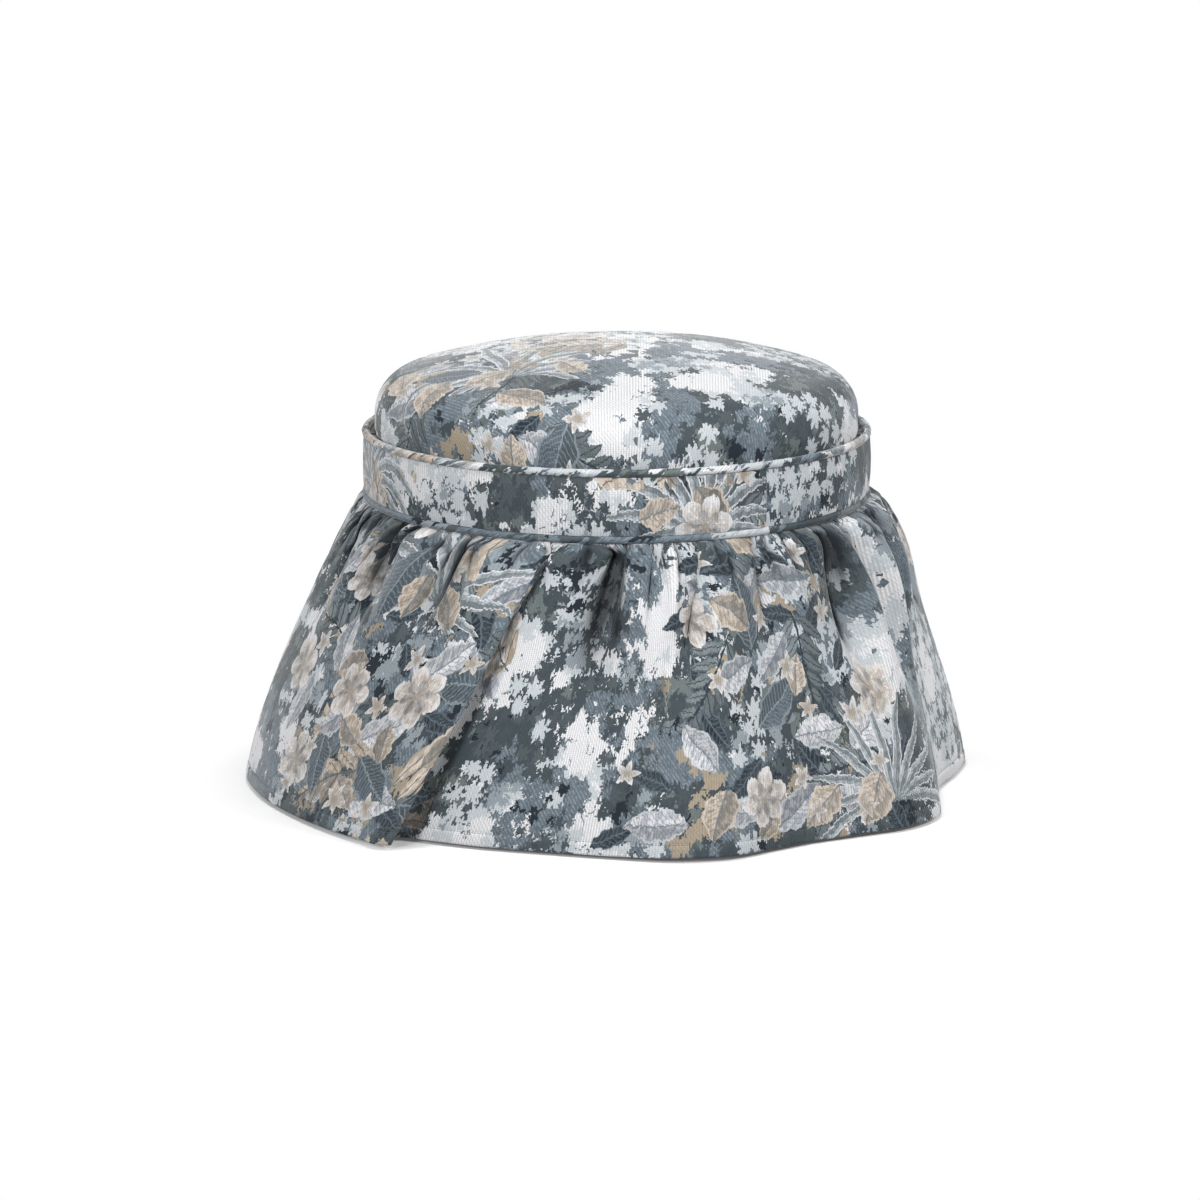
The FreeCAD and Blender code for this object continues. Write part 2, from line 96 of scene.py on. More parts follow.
class Field:
    """A number that varies over a surface; operators on it add Math nodes to its shader."""

    def __init__(self, shader: Shader, socket: bpy.types.NodeSocket) -> None:
        """Wrap a socket of a shader."""
        self.shader = shader
        self.socket = socket

    def __add__(self, other: Number) -> Field:
        """Add."""
        return self.shader.math("ADD", self, other)

    __radd__ = __add__

    def __sub__(self, other: Number) -> Field:
        """Subtract."""
        return self.shader.math("SUBTRACT", self, other)

    def __rsub__(self, other: Number) -> Field:
        """Subtract from a number."""
        return self.shader.math("SUBTRACT", other, self)

    def __mul__(self, other: Number) -> Field:
        """Multiply."""
        return self.shader.math("MULTIPLY", self, other)

    __rmul__ = __mul__

    def __truediv__(self, other: Number) -> Field:
        """Divide."""
        return self.shader.math("DIVIDE", self, other)

    def __rtruediv__(self, other: Number) -> Field:
        """Divide a number."""
        return self.shader.math("DIVIDE", other, self)

    def __pow__(self, other: Number) -> Field:
        """Raise to a power."""
        return self.shader.math("POWER", self, other)

    def __lt__(self, other: Number) -> Field:
        """Give 1 where this is less, else 0."""
        return self.shader.math("LESS_THAN", self, other)

    def __gt__(self, other: Number) -> Field:
        """Give 1 where this is greater, else 0."""
        return self.shader.math("GREATER_THAN", self, other)

    def __abs__(self) -> Field:
        """Give the size without its sign."""
        return self.shader.math("ABSOLUTE", self)

    def floor(self) -> Field:
        """Round down to a whole number."""
        return self.shader.math("FLOOR", self)

    def fract(self) -> Field:
        """Keep what is past the whole number."""
        return self.shader.math("FRACT", self)

    def sin(self) -> Field:
        """Give the sine."""
        return self.shader.math("SINE", self)

    def cos(self) -> Field:
        """Give the cosine."""
        return self.shader.math("COSINE", self)

    def most(self, other: Number) -> Field:
        """Give the larger of two."""
        return self.shader.math("MAXIMUM", self, other)

    def smooth(self, low: float, high: float) -> Field:
        """Ease from 0 to 1.

        Args:
            low: The value at which it is still 0.
            high: The value from which it is 1.

        Returns:
            The eased number.
        """
        settings = {"interpolation_type": "SMOOTHSTEP"}
        made = self.shader.node("ShaderNodeMapRange", settings, {0: self, 1: low, 2: high})
        return Field(self.shader, made.outputs[0])


Number = Union[Field, float]
Paint = Union[bpy.types.NodeSocket, Colour]


class Shader:
    """A material whose nodes are added by calls."""

    def __init__(self, name: str) -> None:
        """Start an empty material.

        Args:
            name: The material's name.
        """
        self.material = bpy.data.materials.new(name)
        self.material.use_nodes = True
        self.tree = self.material.node_tree
        self.tree.nodes.clear()

    def node(
        self, kind: str, settings: dict | None = None, sockets: dict | None = None
    ) -> bpy.types.Node:
        """Add a node.

        Args:
            kind: The node's type.
            settings: Its properties, or "stops" for a ramp, which are set first.
            sockets: Values or links for its inputs, by name or number.

        Returns:
            The new node.
        """
        made = self.tree.nodes.new(kind)
        for key, value in (settings or {}).items():
            if key == "stops":
                elements = made.color_ramp.elements
                while len(elements) < len(value):
                    elements.new(1.0)
                for element, (place, colour) in zip(elements, value):
                    element.position = place
                    element.color = colour
            else:
                setattr(made, key, value)
        for key, value in (sockets or {}).items():
            link = value.socket if isinstance(value, Field) else value
            if isinstance(link, bpy.types.NodeSocket):
                self.tree.links.new(link, made.inputs[key])
            else:
                made.inputs[key].default_value = link
        return made

    def math(self, operation: str, *values: Number) -> Field:
        """Add a Math node and give its result."""
        made = self.node("ShaderNodeMath", {"operation": operation}, dict(enumerate(values)))
        return Field(self, made.outputs[0])

    def mix(self, factor: Number, under: Paint, over: Paint) -> bpy.types.NodeSocket:
        """Lay one colour over another.

        Args:
            factor: How much of the upper colour shows.
            under: The lower colour.
            over: The upper colour.

        Returns:
            The socket of the result.
        """
        settings = {"data_type": "RGBA", "blend_type": "MIX", "clamp_factor": True}
        return self.node("ShaderNodeMix", settings, {0: factor, 6: under, 7: over}).outputs[2]

    def cloth_place(self) -> tuple[Field, Field]:
        """Give the place on the cloth, across and along, in metres."""
        made = self.node("ShaderNodeUVMap", {"uv_map": CLOTH_UV})
        return self.parts(made.outputs[0])[:2]

    def object_place(self) -> list[Field]:
        """Give the place in the object's own axes, in metres."""
        return self.parts(self.node("ShaderNodeTexCoord").outputs["Object"])

    def parts(self, vector: bpy.types.NodeSocket) -> list[Field]:
        """Split a vector into its three numbers."""
        made = self.node("ShaderNodeSeparateXYZ", None, {0: vector})
        return [Field(self, socket) for socket in made.outputs]

    def vector(self, x: Number, y: Number, z: Number = 0.0) -> bpy.types.NodeSocket:
        """Join three numbers into a vector."""
        return self.node("ShaderNodeCombineXYZ", None, {0: x, 1: y, 2: z}).outputs[0]

    def smooth_noise(
        self, place: bpy.types.NodeSocket, scale: float, detail: float, rough: float
    ) -> bpy.types.Node:
        """Add a node of smooth noise.

        Args:
            place: Where to sample it.
            scale: Lumps per metre.
            detail: Octaves.
            rough: How much the finer octaves count.

        Returns:
            The node.
        """
        sockets = {"Vector": place, "Scale": scale, "Detail": detail, "Roughness": rough}
        return self.node("ShaderNodeTexNoise", {"noise_dimensions": "3D"}, sockets)

    def noise(
        self, place: bpy.types.NodeSocket, scale: float, detail: float, rough: float
    ) -> list[Field]:
        """Give three independent numbers about 0.5 from smooth noise."""
        return self.parts(self.smooth_noise(place, scale, detail, rough).outputs["Color"])

    def lump(self, place: bpy.types.NodeSocket, scale: float, detail: float, rough: float) -> Field:
        """Give one number about 0.5 from smooth noise."""
        return Field(self, self.smooth_noise(place, scale, detail, rough).outputs[0])

    def chance(self, x: Number, y: Number, seed: Number) -> list[Field]:
        """Give random numbers that hold over a whole cell.

        Args:
            x: The cell's column.
            y: The cell's row.
            seed: Tells one draw from another.

        Returns:
            Three independent numbers from 0 to 1.
        """
        sockets = {"Vector": self.vector(x, y, seed)}
        made = self.node("ShaderNodeTexWhiteNoise", {"noise_dimensions": "3D"}, sockets)
        return self.parts(made.outputs["Color"])

    def cells(self, place: bpy.types.NodeSocket, scale: float) -> Field:
        """Give the distance to the nearest of a scatter of points, in shares of their spacing."""
        sockets = {"Vector": place, "Scale": scale}
        return Field(self, self.node("ShaderNodeTexVoronoi", None, sockets).outputs["Distance"])

    def finish(
        self, colour: Paint, height: Number, depth: float, **surface: Number
    ) -> bpy.types.Material:
        """Close the material with one surface shader.

        Args:
            colour: Its base colour.
            height: The relief that its bump follows, from 0 to 1.
            depth: The relief's full height in metres.
            surface: Other inputs of the surface, with _ for a space in their names.

        Returns:
            The material.
        """
        sockets = {key.replace("_", " "): value for key, value in surface.items()}
        sockets["Base Color"] = colour
        relief = {"Height": height, "Distance": depth, "Strength": 1.0}
        sockets["Normal"] = self.node("ShaderNodeBump", None, relief).outputs[0]
        made = self.node("ShaderNodeBsdfPrincipled", None, sockets)
        self.node("ShaderNodeOutputMaterial", None, {"Surface": made.outputs[0]})
        return self.material


@dataclass(frozen=True)
class Motif:
    """Masks of one motif of the cloth: where it is, its veins, rim and darker side, and its bed."""

    inside: Field
    lines: Field
    rim: Field
    shade: Field
    tint: Field
    bed: Field


@dataclass(frozen=True)
class VerdureCloth:
    """Jacquard cloth with clumps of foliage on a pale ground and beds of leaves and flowers."""

    ground: str = "e6e5e7"
    pale: str = "c0c6ca"
    mist: str = "8f999f"
    slate: str = "64707a"
    dark: str = "40494e"
    night: str = "20272f"
    sage: str = "6a7372"
    lilac: str = "a6aab3"
    beige: str = "d3c6b9"
    tan: str = "a19583"
    # Colour of the painted shade in the skirt's creases, also used for the cloth's own dark flecks
    shadow: str = "14181c"
    repeat: float = 0.54
    phase: float = 0.29
    thread: float = 0.0022
    tooth: float = 0.0052
    rib_pitch: float = 0.0027
    weft_pitch: float = 0.0019
    twill_pitch: float = 0.0042
    name: str = "verdure_cloth"
    fill: float = 0.0
    beds: float = 1.0

    def grid(
        self, shader: Shader, x: Field, y: Field, size: float, seed: float, jitter: float
    ) -> tuple[Field, Field, list[Field], Field]:
        """Place a motif at random in each cell of a staggered grid.

        Args:
            shader: The material.
            x: Place across the cloth.
            y: Place along the cloth.
            size: The cell's size in metres.
            seed: Tells one grid from another.
            jitter: Share of the cell that a motif may wander.

        Returns:
            The motif's own two axes, three random numbers of its cell, and how far it is in a bed.
        """
        row = (y / size).floor()
        across = x / size + row * 0.5 + seed * 0.37
        column = across.floor()
        first = shader.chance(column, row, seed)
        second = shader.chance(column, row, seed + 0.5)
        u = (across - column - 0.5 - (first[0] - 0.5) * jitter) * size
        v = ((y / size) - row - 0.5 - (first[1] - 0.5) * jitter) * size
        angle = first[2] * TURN
        turned_u = u * angle.cos() + v * angle.sin()
        turned_v = v * angle.cos() - u * angle.sin()
        return turned_u, turned_v, second, self.bed(shader, x - u, y - v)

    def bed(self, shader: Shader, x: Field, y: Field) -> Field:
        """Give where the beds of leaves are.

        Args:
            shader: The material.
            x: Place across the cloth.
            y: Place along the cloth.

        Returns:
            How far in a bed the place is, from 0 to 1.
        """
        wander = shader.noise(shader.vector(x, y, 0.1), 3.4, 1.0, 0.5)
        wave = ((x - self.phase) * (TURN / self.repeat) + (wander[0] - 0.5) * 2.0).cos() * 0.5 + 0.5
        return (wave + (wander[1] - 0.5) * 1.0 - y * 0.3).smooth(0.3, 0.5) * self.beds

    def leaf(
        self,
        shader: Shader,
        x: Field,
        y: Field,
        size: float,
        seed: float,
        length: float,
        width: float,
        share: float,
    ) -> Motif:
        """Draw single veined leaves.

        Args:
            shader: The material.
            x: Place across the cloth.
            y: Place along the cloth.
            size: Spacing of the leaves.
            seed: Tells one scatter from another.
            length: A leaf's length.
            width: Half of a leaf's width.
            share: Share of the cells that hold a leaf.

        Returns:
            The leaf's masks.
        """
        u, v, luck, bed = self.grid(shader, x, y, size, seed, 0.3)
        grown = luck[1] * 0.4 + 0.75
        along = u / (grown * length) + 0.5
        side = abs(v)
        scallop = abs((along * (TURN * 1.6) + side * 90.0).sin()) * 0.2 + 0.85
        reach = along * (1 - along) * (1.3 - along * 0.5) * scallop * grown * (4 * width)
        inside = (side < reach) * (luck[0] < share)
        midrib = side < 0.0009
        veins = (((along * length - side * 0.8) / 0.0058).fract() < 0.22) * 0.7
        lines = midrib.most(veins * (side < reach * 0.8))
        shade = (v > 0.0) * (luck[2] * 0.4 + 0.15)
        return Motif(inside, lines, side > reach * 0.84, shade, luck[2], bed)

    def spray(
        self, shader: Shader, x: Field, y: Field, size: float, seed: float, pitch: float, share: float
    ) -> Motif:
        """Draw stems with slanting pairs of leaflets.

        Args:
            shader: The material.
            x: Place across the cloth.
            y: Place along the cloth.
            size: Spacing of the stems.
            seed: Tells one scatter from another.
            pitch: Spacing of the leaflets on a stem.
            share: Share of the cells that hold a stem.

        Returns:
            The spray's masks.
        """
        u, v, luck, bed = self.grid(shader, x, y, size, seed, 0.2)
        bent = v + u * u * (6.0 * (luck[1] - 0.5))
        side = abs(bent)
        slant = 0.75
        foot = u + size * 0.42 - side * slant
        step = (foot / pitch).floor()
        off = abs(foot / pitch - step - 0.5) * pitch
        place = step * (pitch / (size * 0.8))
        reach = (1.15 - place) * (0.36 * size)
        along = side * 1.35 / reach
        breadth = along * (1 - along) * (1.35 - along * 0.6) * (pitch * 1.75)
        grown = (place > -0.05) * (place < 1.0) * (luck[0] < share)
        inside = (off < breadth) * grown
        stem = (side < 0.0012) * (abs(u) < size * 0.4) * (luck[0] < share)
        lines = (off < 0.0008) * grown
        rim = off > breadth * 0.78
        return Motif(inside.most(stem), lines.most(stem), rim, (bent > 0.0) * 0.4, luck[2], bed)

    def star(
        self, shader: Shader, x: Field, y: Field, size: float, seed: float, radius: float, share: float
    ) -> Motif:
        """Draw small flowers with five pointed petals.

        Args:
            shader: The material.
            x: Place across the cloth.
            y: Place along the cloth.
            size: Spacing of the flowers.
            seed: Tells one scatter from another.
            radius: A flower's radius.
            share: Share of the cells that hold a flower.

        Returns:
            The flower's masks, with its eye in the lines.
        """
        u, v, luck, bed = self.grid(shader, x, y, size, seed, 0.35)
        far = shader.math("SQRT", u * u + v * v) / (luck[1] * 0.35 + 0.8)
        petal = abs((shader.math("ARCTAN2", v, u) * (5 / TURN) + 5).fract() - 0.5) * 2
        inside = (far < (1 - (petal**0.8) * 0.6) * radius) * (luck[0] < share)
        eye = far < radius * 0.24
        crease = (petal < 0.1) * (far < radius * 0.62)
        reach = far / radius
        return Motif(inside, eye.most(crease), reach > 0.86, (1 - reach) * 0.5, luck[2], bed)

    def blossom(
        self, shader: Shader, x: Field, y: Field, size: float, seed: float, radius: float, share: float
    ) -> Motif:
        """Draw full flowers with two rings of round petals.

        Args:
            shader: The material.
            x: Place across the cloth.
            y: Place along the cloth.
            size: Spacing of the flowers.
            seed: Tells one scatter from another.
            radius: A flower's radius.
            share: Share of the cells that hold a flower.

        Returns:
            The flower's masks, with the petals' edges in the lines.
        """
        u, v, luck, bed = self.grid(shader, x, y, size, seed, 0.3)
        far = shader.math("SQRT", u * u + v * v) / (luck[1] * 0.3 + 0.8)
        angle = shader.math("ARCTAN2", v, u) * (6 / TURN) + 6
        outer = abs(angle.fract() - 0.5) * 2
        inner = abs((angle + 0.5).fract() - 0.5) * 2
        edge = (1 - outer * outer * 0.34) * radius
        ring = (1 - inner * inner * 0.45) * (radius * 0.58)
        inside = (far < edge) * (luck[0] < share)
        parting = (outer > 0.86) * (far > ring)
        veins = ((angle * 5).fract() < 0.26) * (far > radius * 0.3) * (far < edge * 0.8)
        inner_parting = (inner > 0.8) * (far < ring) * (far > radius * 0.2)
        eye = far < radius * 0.15
        lines = parting.most(veins * 0.55).most(inner_parting).most(eye)
        shade = (far < ring) * 0.25 + (outer * 0.3) + (v > 0.0) * 0.15
        return Motif(inside, lines, (far > edge * 0.86) * 0.6, shade, luck[2], bed)

    def frond(
        self, shader: Shader, x: Field, y: Field, size: float, seed: float, share: float
    ) -> Motif:
        """Draw tufts of long pointed blades that fan up from one foot.

        Args:
            shader: The material.
            x: Place across the cloth.
            y: Place along the cloth.
            size: Spacing of the tufts.
            seed: Tells one scatter from another.
            share: Share of the cells that hold a tuft.

        Returns:
            The tuft's masks.
        """
        row = (y / size).floor()
        across = x / size + row * 0.37 + seed * 0.37
        column = across.floor()
        luck = shader.chance(column, row, seed)
        grown = shader.chance(column, row, seed + 0.5)
        u = (across - column - 0.5 - (luck[0] - 0.5) * 0.3) * size
        v = ((y / size) - row - 0.08 - grown[0] * 0.2) * size
        far = shader.math("SQRT", u * u + v * v)
        angle = shader.math("ARCTAN2", u, v) + (grown[1] - 0.5) * 0.9
        curl = angle - angle * far * ((grown[2] * 1.4 + 0.1) / size)
        blades = 11
        fan = 3.3
        share_of_fan = curl * (blades / fan)
        blade = (share_of_fan + 0.5).floor()
        off = abs(share_of_fan - blade) * (fan / blades) * far
        tall = shader.chance(blade, column, seed + row * 0.1)[0] * 0.36 + 0.42
        along = far / (tall * size)
        breadth = along**0.6 * (1 - along) * (size * 0.07)
        inside = (off < breadth) * (abs(blade) < blades / 2) * (luck[1] < share)
        bed = self.bed(shader, x - u, y - v)
        shade = (share_of_fan > blade) * 0.45
        return Motif(inside, off < 0.0006, off > breadth * 0.76, shade, luck[2], bed)

    def clump(
        self, shader: Shader, place: bpy.types.NodeSocket, lobes: Field, scale: float, shift: float
    ) -> Field:
        """Draw the density of masses of foliage with ragged edges.

        Args:
            shader: The material.
            place: Where to sample.
            lobes: The scatter of small lobes along the edges.
            scale: Clumps per metre.
            shift: Tells one layer from another.

        Returns:
            A density about 0.5, which a level cuts into masses.
        """
        moved = (shift, shift * 0.7, shift)
        made = shader.node("ShaderNodeVectorMath", {"operation": "ADD"}, {0: place, 1: moved})
        return shader.lump(made.outputs[0], scale, 4.0, 0.6) + lobes * 0.1

    def leafage(
        self, shader: Shader, x: Field, y: Field, size: float, shift: float, scale: float
    ) -> tuple[Field, Field]:
        """Draw small lobed leaves that overlap into masses of foliage.

        Args:
            shader: The material.
            x: Place across the cloth.
            y: Place along the cloth.
            size: Spacing of the leaves.
            shift: Tells one layer from another.
            scale: Masses per metre.

        Returns:
            The density of the masses at each leaf's own middle, so that a level keeps whole leaves, and
            each leaf's own tone from 0 to 1.
        """
        row = (y / size).floor()
        across = x / size + row * 0.5 + shift
        column = across.floor()
        luck = shader.chance(column, row, shift)
        u = (across - column - 0.5 - (luck[0] - 0.5) * 0.4) * size
        v = ((y / size) - row - 0.5 - (luck[1] - 0.5) * 0.4) * size
        middle = shader.vector(x - u + shift, y - v + shift * 0.7, shift)
        density = shader.lump(middle, scale, 2.0, 0.55)
        far = shader.math("SQRT", u * u + v * v)
        point = abs((shader.math("ARCTAN2", v, u) * (7 / TURN) + luck[2] + 7).fract() - 0.5) * 2
        return density * (far < (0.27 + point * 0.36) * size), luck[2]

    def material(self) -> bpy.types.Material:
        """Weave the cloth.

        Returns:
            Its material, which reads the cloth's own UV map in metres and paints shade into the creases
            from a mesh attribute.
        """
        shader = Shader(self.name)
        x, y = shader.cloth_place()
        teeth = shader.chance((x / self.thread).floor(), (y / 0.011).floor(), 3.0)
        torn_y = y + (teeth[0] - 0.5) * self.tooth
        soft = shader.noise(shader.vector(x, y, 0.3), 150.0, 2.0, 0.6)
        edge_x = x + (soft[0] - 0.5) * 0.006
        edge_y = torn_y + (soft[1] - 0.5) * 0.006
        wide = shader.noise(shader.vector(x, y, 0.7), 26.0, 1.0, 0.5)
        leaf_x = x + (soft[0] - 0.5) * 0.0025 + (wide[0] - 0.5) * 0.010
        leaf_y = y + (teeth[0] - 0.5) * 0.0022 + (soft[1] - 0.5) * 0.0025 + (wide[1] - 0.5) * 0.010
        place = shader.vector(edge_x, edge_y, 0.0)
        lobes = 0.5 - shader.cells(place, 85.0)

        bed = self.bed(shader, x, y)
        threads, twill = self.threads(shader, x, y)
        edge = (edge_x, edge_y)
        colour = self.foliage(shader, edge, place, lobes, bed, threads, twill)
        colour = self.bedding(shader, leaf_x, leaf_y, colour)
        colour = shader.mix((1 - threads) * 0.24, colour, linear(self.night))
        # Painted shade: the crease attribute darkens the colour towards the shadow colour deep in the
        # skirt's creases
        made = shader.node("ShaderNodeAttribute", {"attribute_name": CREASE_SHADE})
        painted_shade = Field(shader, made.outputs["Fac"])
        colour = shader.mix(painted_shade * 0.9, colour, linear(self.shadow))
        # Flecks: dark threads of the cloth itself, drawn in the same dark as the painted shade
        flecks = shader.chance((x / 0.0013).floor(), (y / 0.0012).floor(), 9.0)[0]
        colour = shader.mix(flecks * 0.13, colour, linear(self.shadow))
        return shader.finish(
            colour,
            threads + flecks * 0.3,
            0.00025,
            Roughness=0.88,
            Sheen_Weight=0.4,
            Sheen_Roughness=0.3,
            Specular_IOR_Level=0.2,
        )

    def foliage(
        self,
        shader: Shader,
        edge: tuple[Field, Field],
        place: bpy.types.NodeSocket,
        lobes: Field,
        bed: Field,
        threads: Field,
        twill: Field,
    ) -> bpy.types.NodeSocket:
        """Lay the clumps of foliage over the ground.

        Args:
            shader: The material.
            edge: Ragged place across and along the cloth.
            place: The same place as a vector.
            lobes: The scatter of lobes along the edges.
            bed: Where the beds of leaves are.
            threads: The relief of the weave.
            twill: The diagonal of the weave.

        Returns:
            The colour so far.
        """
        leaves, tone = self.leafage(shader, *edge, 0.0175, 4.1, 12.0)
        more, other_tone = self.leafage(shader, *edge, 0.0125, 4.1, 12.0)
        mass = self.clump(shader, place, lobes, 12.0, 4.1)
        tint, _ = self.leafage(shader, *edge, 0.0145, 7.7, 12.0)
        hue = self.clump(shader, place, lobes, 12.0, 7.7)
        small, _ = self.leafage(shader, *edge, 0.0135, 1.3, 17.0)
        small = small.most(self.clump(shader, place, lobes, 17.0, 1.3) - 0.03)
        fine = self.clump(shader, place, lobes, 28.0, 5.9)
        single, _ = self.leafage(shader, *edge, 0.0215, 6.3, 15.0)
        ground = shader.mix((1 - threads) * 0.36, linear(self.ground), linear(self.mist))
        twig = (abs(hue - 0.5) < 0.007) * (fine > 0.5)
        colour = shader.mix(twig, ground, linear(self.slate))
        colour = shader.mix(small > 0.53, colour, linear(self.pale))
        body = leaves.most(more).most(mass - 0.035) + bed * 0.09 + self.fill
        deep = shader.mix((leaves > 0.3) * tone * 0.4, linear(self.dark), linear(self.sage))
        colour = shader.mix(body > 0.455, colour, deep)
        blue = shader.mix(twill * 0.75, linear(self.slate), linear(self.mist))
        blue = shader.mix((more > 0.3) * other_tone * 0.4, blue, linear(self.dark))
        colour = shader.mix((body > 0.462) * (tint.most(hue - 0.02) > 0.51), colour, blue)
        colour = shader.mix((body > 0.52) * (hue < 0.4), colour, linear(self.sage))
        colour = shader.mix((body > 0.45) * (single > 0.54), colour, linear(self.pale))
        colour = shader.mix((body > 0.52) * (fine < 0.38), colour, linear(self.night))
        colour = shader.mix((body < 0.6) * (fine > 0.66), colour, ground)
        colour = shader.mix((small > 0.62) * (hue > 0.46), colour, linear(self.mist))
        return shader.mix(bed * (small < 0.42) * (fine > 0.5), colour, linear(self.tan))

    def laid(
        self,
        shader: Shader,
        motif: Motif,
        brush: Field,
        gate: float,
        colour: Paint,
        fill: tuple[str, str],
        line: str,
        rim: str,
    ) -> bpy.types.NodeSocket:
        """Lay a motif over a colour.

        Args:
            shader: The material.
            motif: The motif's masks.
            brush: Patches in which the fill changes from one colour to the other.
            gate: How far in a bed the motif has to be.
            colour: The colour under it.
            fill: The two colours that its fill varies between.
            line: The colour of its veins.
            rim: The colour of its rim.

        Returns:
            The colour so far.
        """
        body = shader.mix(motif.tint * 0.5 + brush * 0.5, linear(fill[0]), linear(fill[1]))
        body = shader.mix(motif.shade + brush * 0.12, body, linear(self.dark))
        body = shader.mix(motif.rim * 0.7, body, linear(rim))
        body = shader.mix(motif.lines * 0.75, body, linear(line))
        return shader.mix(motif.inside * (motif.bed > gate), colour, body)

    def bedding(self, shader: Shader, x: Field, y: Field, colour: Paint) -> bpy.types.NodeSocket:
        """Lay the leaves, sprays, tufts and flowers over the foliage, the lowest layer first.

        Args:
            shader: The material.
            x: Ragged place across the cloth.
            y: Ragged place along the cloth.
            colour: The colour so far.

        Returns:
            The colour with the motifs on it.
        """
        brush = shader.lump(shader.vector(x, y * 0.6, 2.2), 170.0, 2.0, 0.6).smooth(0.44, 0.56)
        at = (shader, x, y)
        deep = (self.night, self.dark)
        cool = (self.ground, self.lilac)
        dim = (self.dark, self.slate)
        warm = (self.beige, self.tan)
        bright = (self.ground, self.beige)
        # The motif, its gate, its two fills, its veins and its rim
        layers = (
            (self.leaf(*at, 0.05, 1.0, 0.052, 0.0105, 0.6), 0.3, deep, self.slate, self.slate),
            (self.spray(*at, 0.12, 2.0, 0.019, 0.75), 0.25, (self.sage, self.mist), self.night, self.dark),
            (self.leaf(*at, 0.074, 3.0, 0.068, 0.0165, 0.75), 0.2, cool, self.slate, self.pale),
            (self.frond(*at, 0.21, 5.0, 0.6), 0.3, (self.pale, self.mist), self.sage, self.ground),
            (self.spray(*at, 0.13, 4.0, 0.023, 0.4), 0.4, warm, self.dark, self.tan),
            (self.leaf(*at, 0.098, 9.0, 0.085, 0.021, 0.4), 0.3, dim, self.mist, self.mist),
            (self.leaf(*at, 0.066, 6.0, 0.054, 0.0165, 0.42), 0.3, warm, self.slate, self.beige),
            (self.blossom(*at, 0.092, 7.0, 0.029, 0.42), 0.15, bright, self.tan, self.ground),
            (self.star(*at, 0.05, 8.0, 0.0155, 0.4), 0.35, bright, self.tan, self.ground),
        )
        for motif, gate, fill, line, rim in layers:
            colour = self.laid(shader, motif, brush, gate, colour, fill, line, rim)
        return colour

    def threads(self, shader: Shader, x: Field, y: Field) -> tuple[Field, Field]:
        """Draw the relief of the weave: upright ribs, a diagonal twill and patches of both.

        Args:
            shader: The material.
            x: Place across the cloth.
            y: Place along the cloth.

        Returns:
            The relief and the broken diagonal of the twill, both from 0 to 1.
        """
        rib = (x * (TURN / self.rib_pitch)).sin() * 0.5 + 0.5
        weft = (y * (TURN / self.weft_pitch)).sin() * 0.5 + 0.5
        twill = ((x + y * 0.8) * (TURN / self.twill_pitch)).sin() * 0.5 + 0.5
        patch = shader.lump(shader.vector(x, y, 5.0), 24.0, 1.0, 0.5).smooth(0.46, 0.54)
        broken = shader.lump(shader.vector(x, y, 8.0), 240.0, 1.0, 0.5).smooth(0.36, 0.6)
        relief = rib * 0.45 + weft * 0.2 + (twill * patch + rib * (1 - patch)) * 0.35
        return relief, twill * broken


@dataclass(frozen=True)
class LiningCloth:
    """Plain woven lining of the storage well."""

    thread_colour: str = "c9c1b0"
    shade_colour: str = "b3aa98"
    pitch: float = 0.0012

    def material(self) -> bpy.types.Material:
        """Weave the lining.

        Returns:
            Its material, which reads the cloth's own UV map in metres.
        """
        shader = Shader("lining_cloth")
        x, y = shader.cloth_place()
        warp = (x * (TURN / self.pitch)).sin() * 0.5 + 0.5
        weft = (y * (TURN / self.pitch)).sin() * 0.5 + 0.5
        slub = shader.lump(shader.vector(x * 0.12, y, 1.0), 300.0, 2.0, 0.6)
        cloudy = shader.lump(shader.vector(x, y, 2.0), 9.0, 3.0, 0.55)
        relief = warp * weft
        tone = (slub - 0.5) * 0.9 + (cloudy - 0.5) * 0.8 + (1 - relief) * 0.35
        colour = shader.mix(tone, linear(self.thread_colour), linear(self.shade_colour))
        return shader.finish(colour, relief + slub * 0.5, 0.0003, Roughness=0.9, Sheen_Weight=0.1)


@dataclass(frozen=True)
class DustCloth:
    """Black non-woven cloth, embossed with a fine grid of dots."""

    colour: str = "1d1d1f"
    dot_colour: str = "2c2c2f"
    pitch: float = 0.003

    def material(self) -> bpy.types.Material:
        """Make the cloth.

        Returns:
            Its material, which reads the cloth's own UV map in metres.
        """
        shader = Shader("dust_cloth")
        x, y = shader.cloth_place()
        across = (x / self.pitch).fract() - 0.5
        along = (y / self.pitch).fract() - 0.5
        dot = (across * across + along * along).smooth(0.05, 0.11)
        fibres = shader.lump(shader.vector(x, y, 0.0), 900.0, 3.0, 0.65)
        cloudy = shader.lump(shader.vector(x, y, 3.0), 40.0, 2.0, 0.5)
        tone = dot * 0.5 + (fibres - 0.5) * 0.8 + (cloudy - 0.5) * 0.5
        colour = shader.mix(tone, linear(self.colour), linear(self.dot_colour))
        return shader.finish(colour, dot * 0.6 + fibres * 0.4, 0.0002, Roughness=0.82)


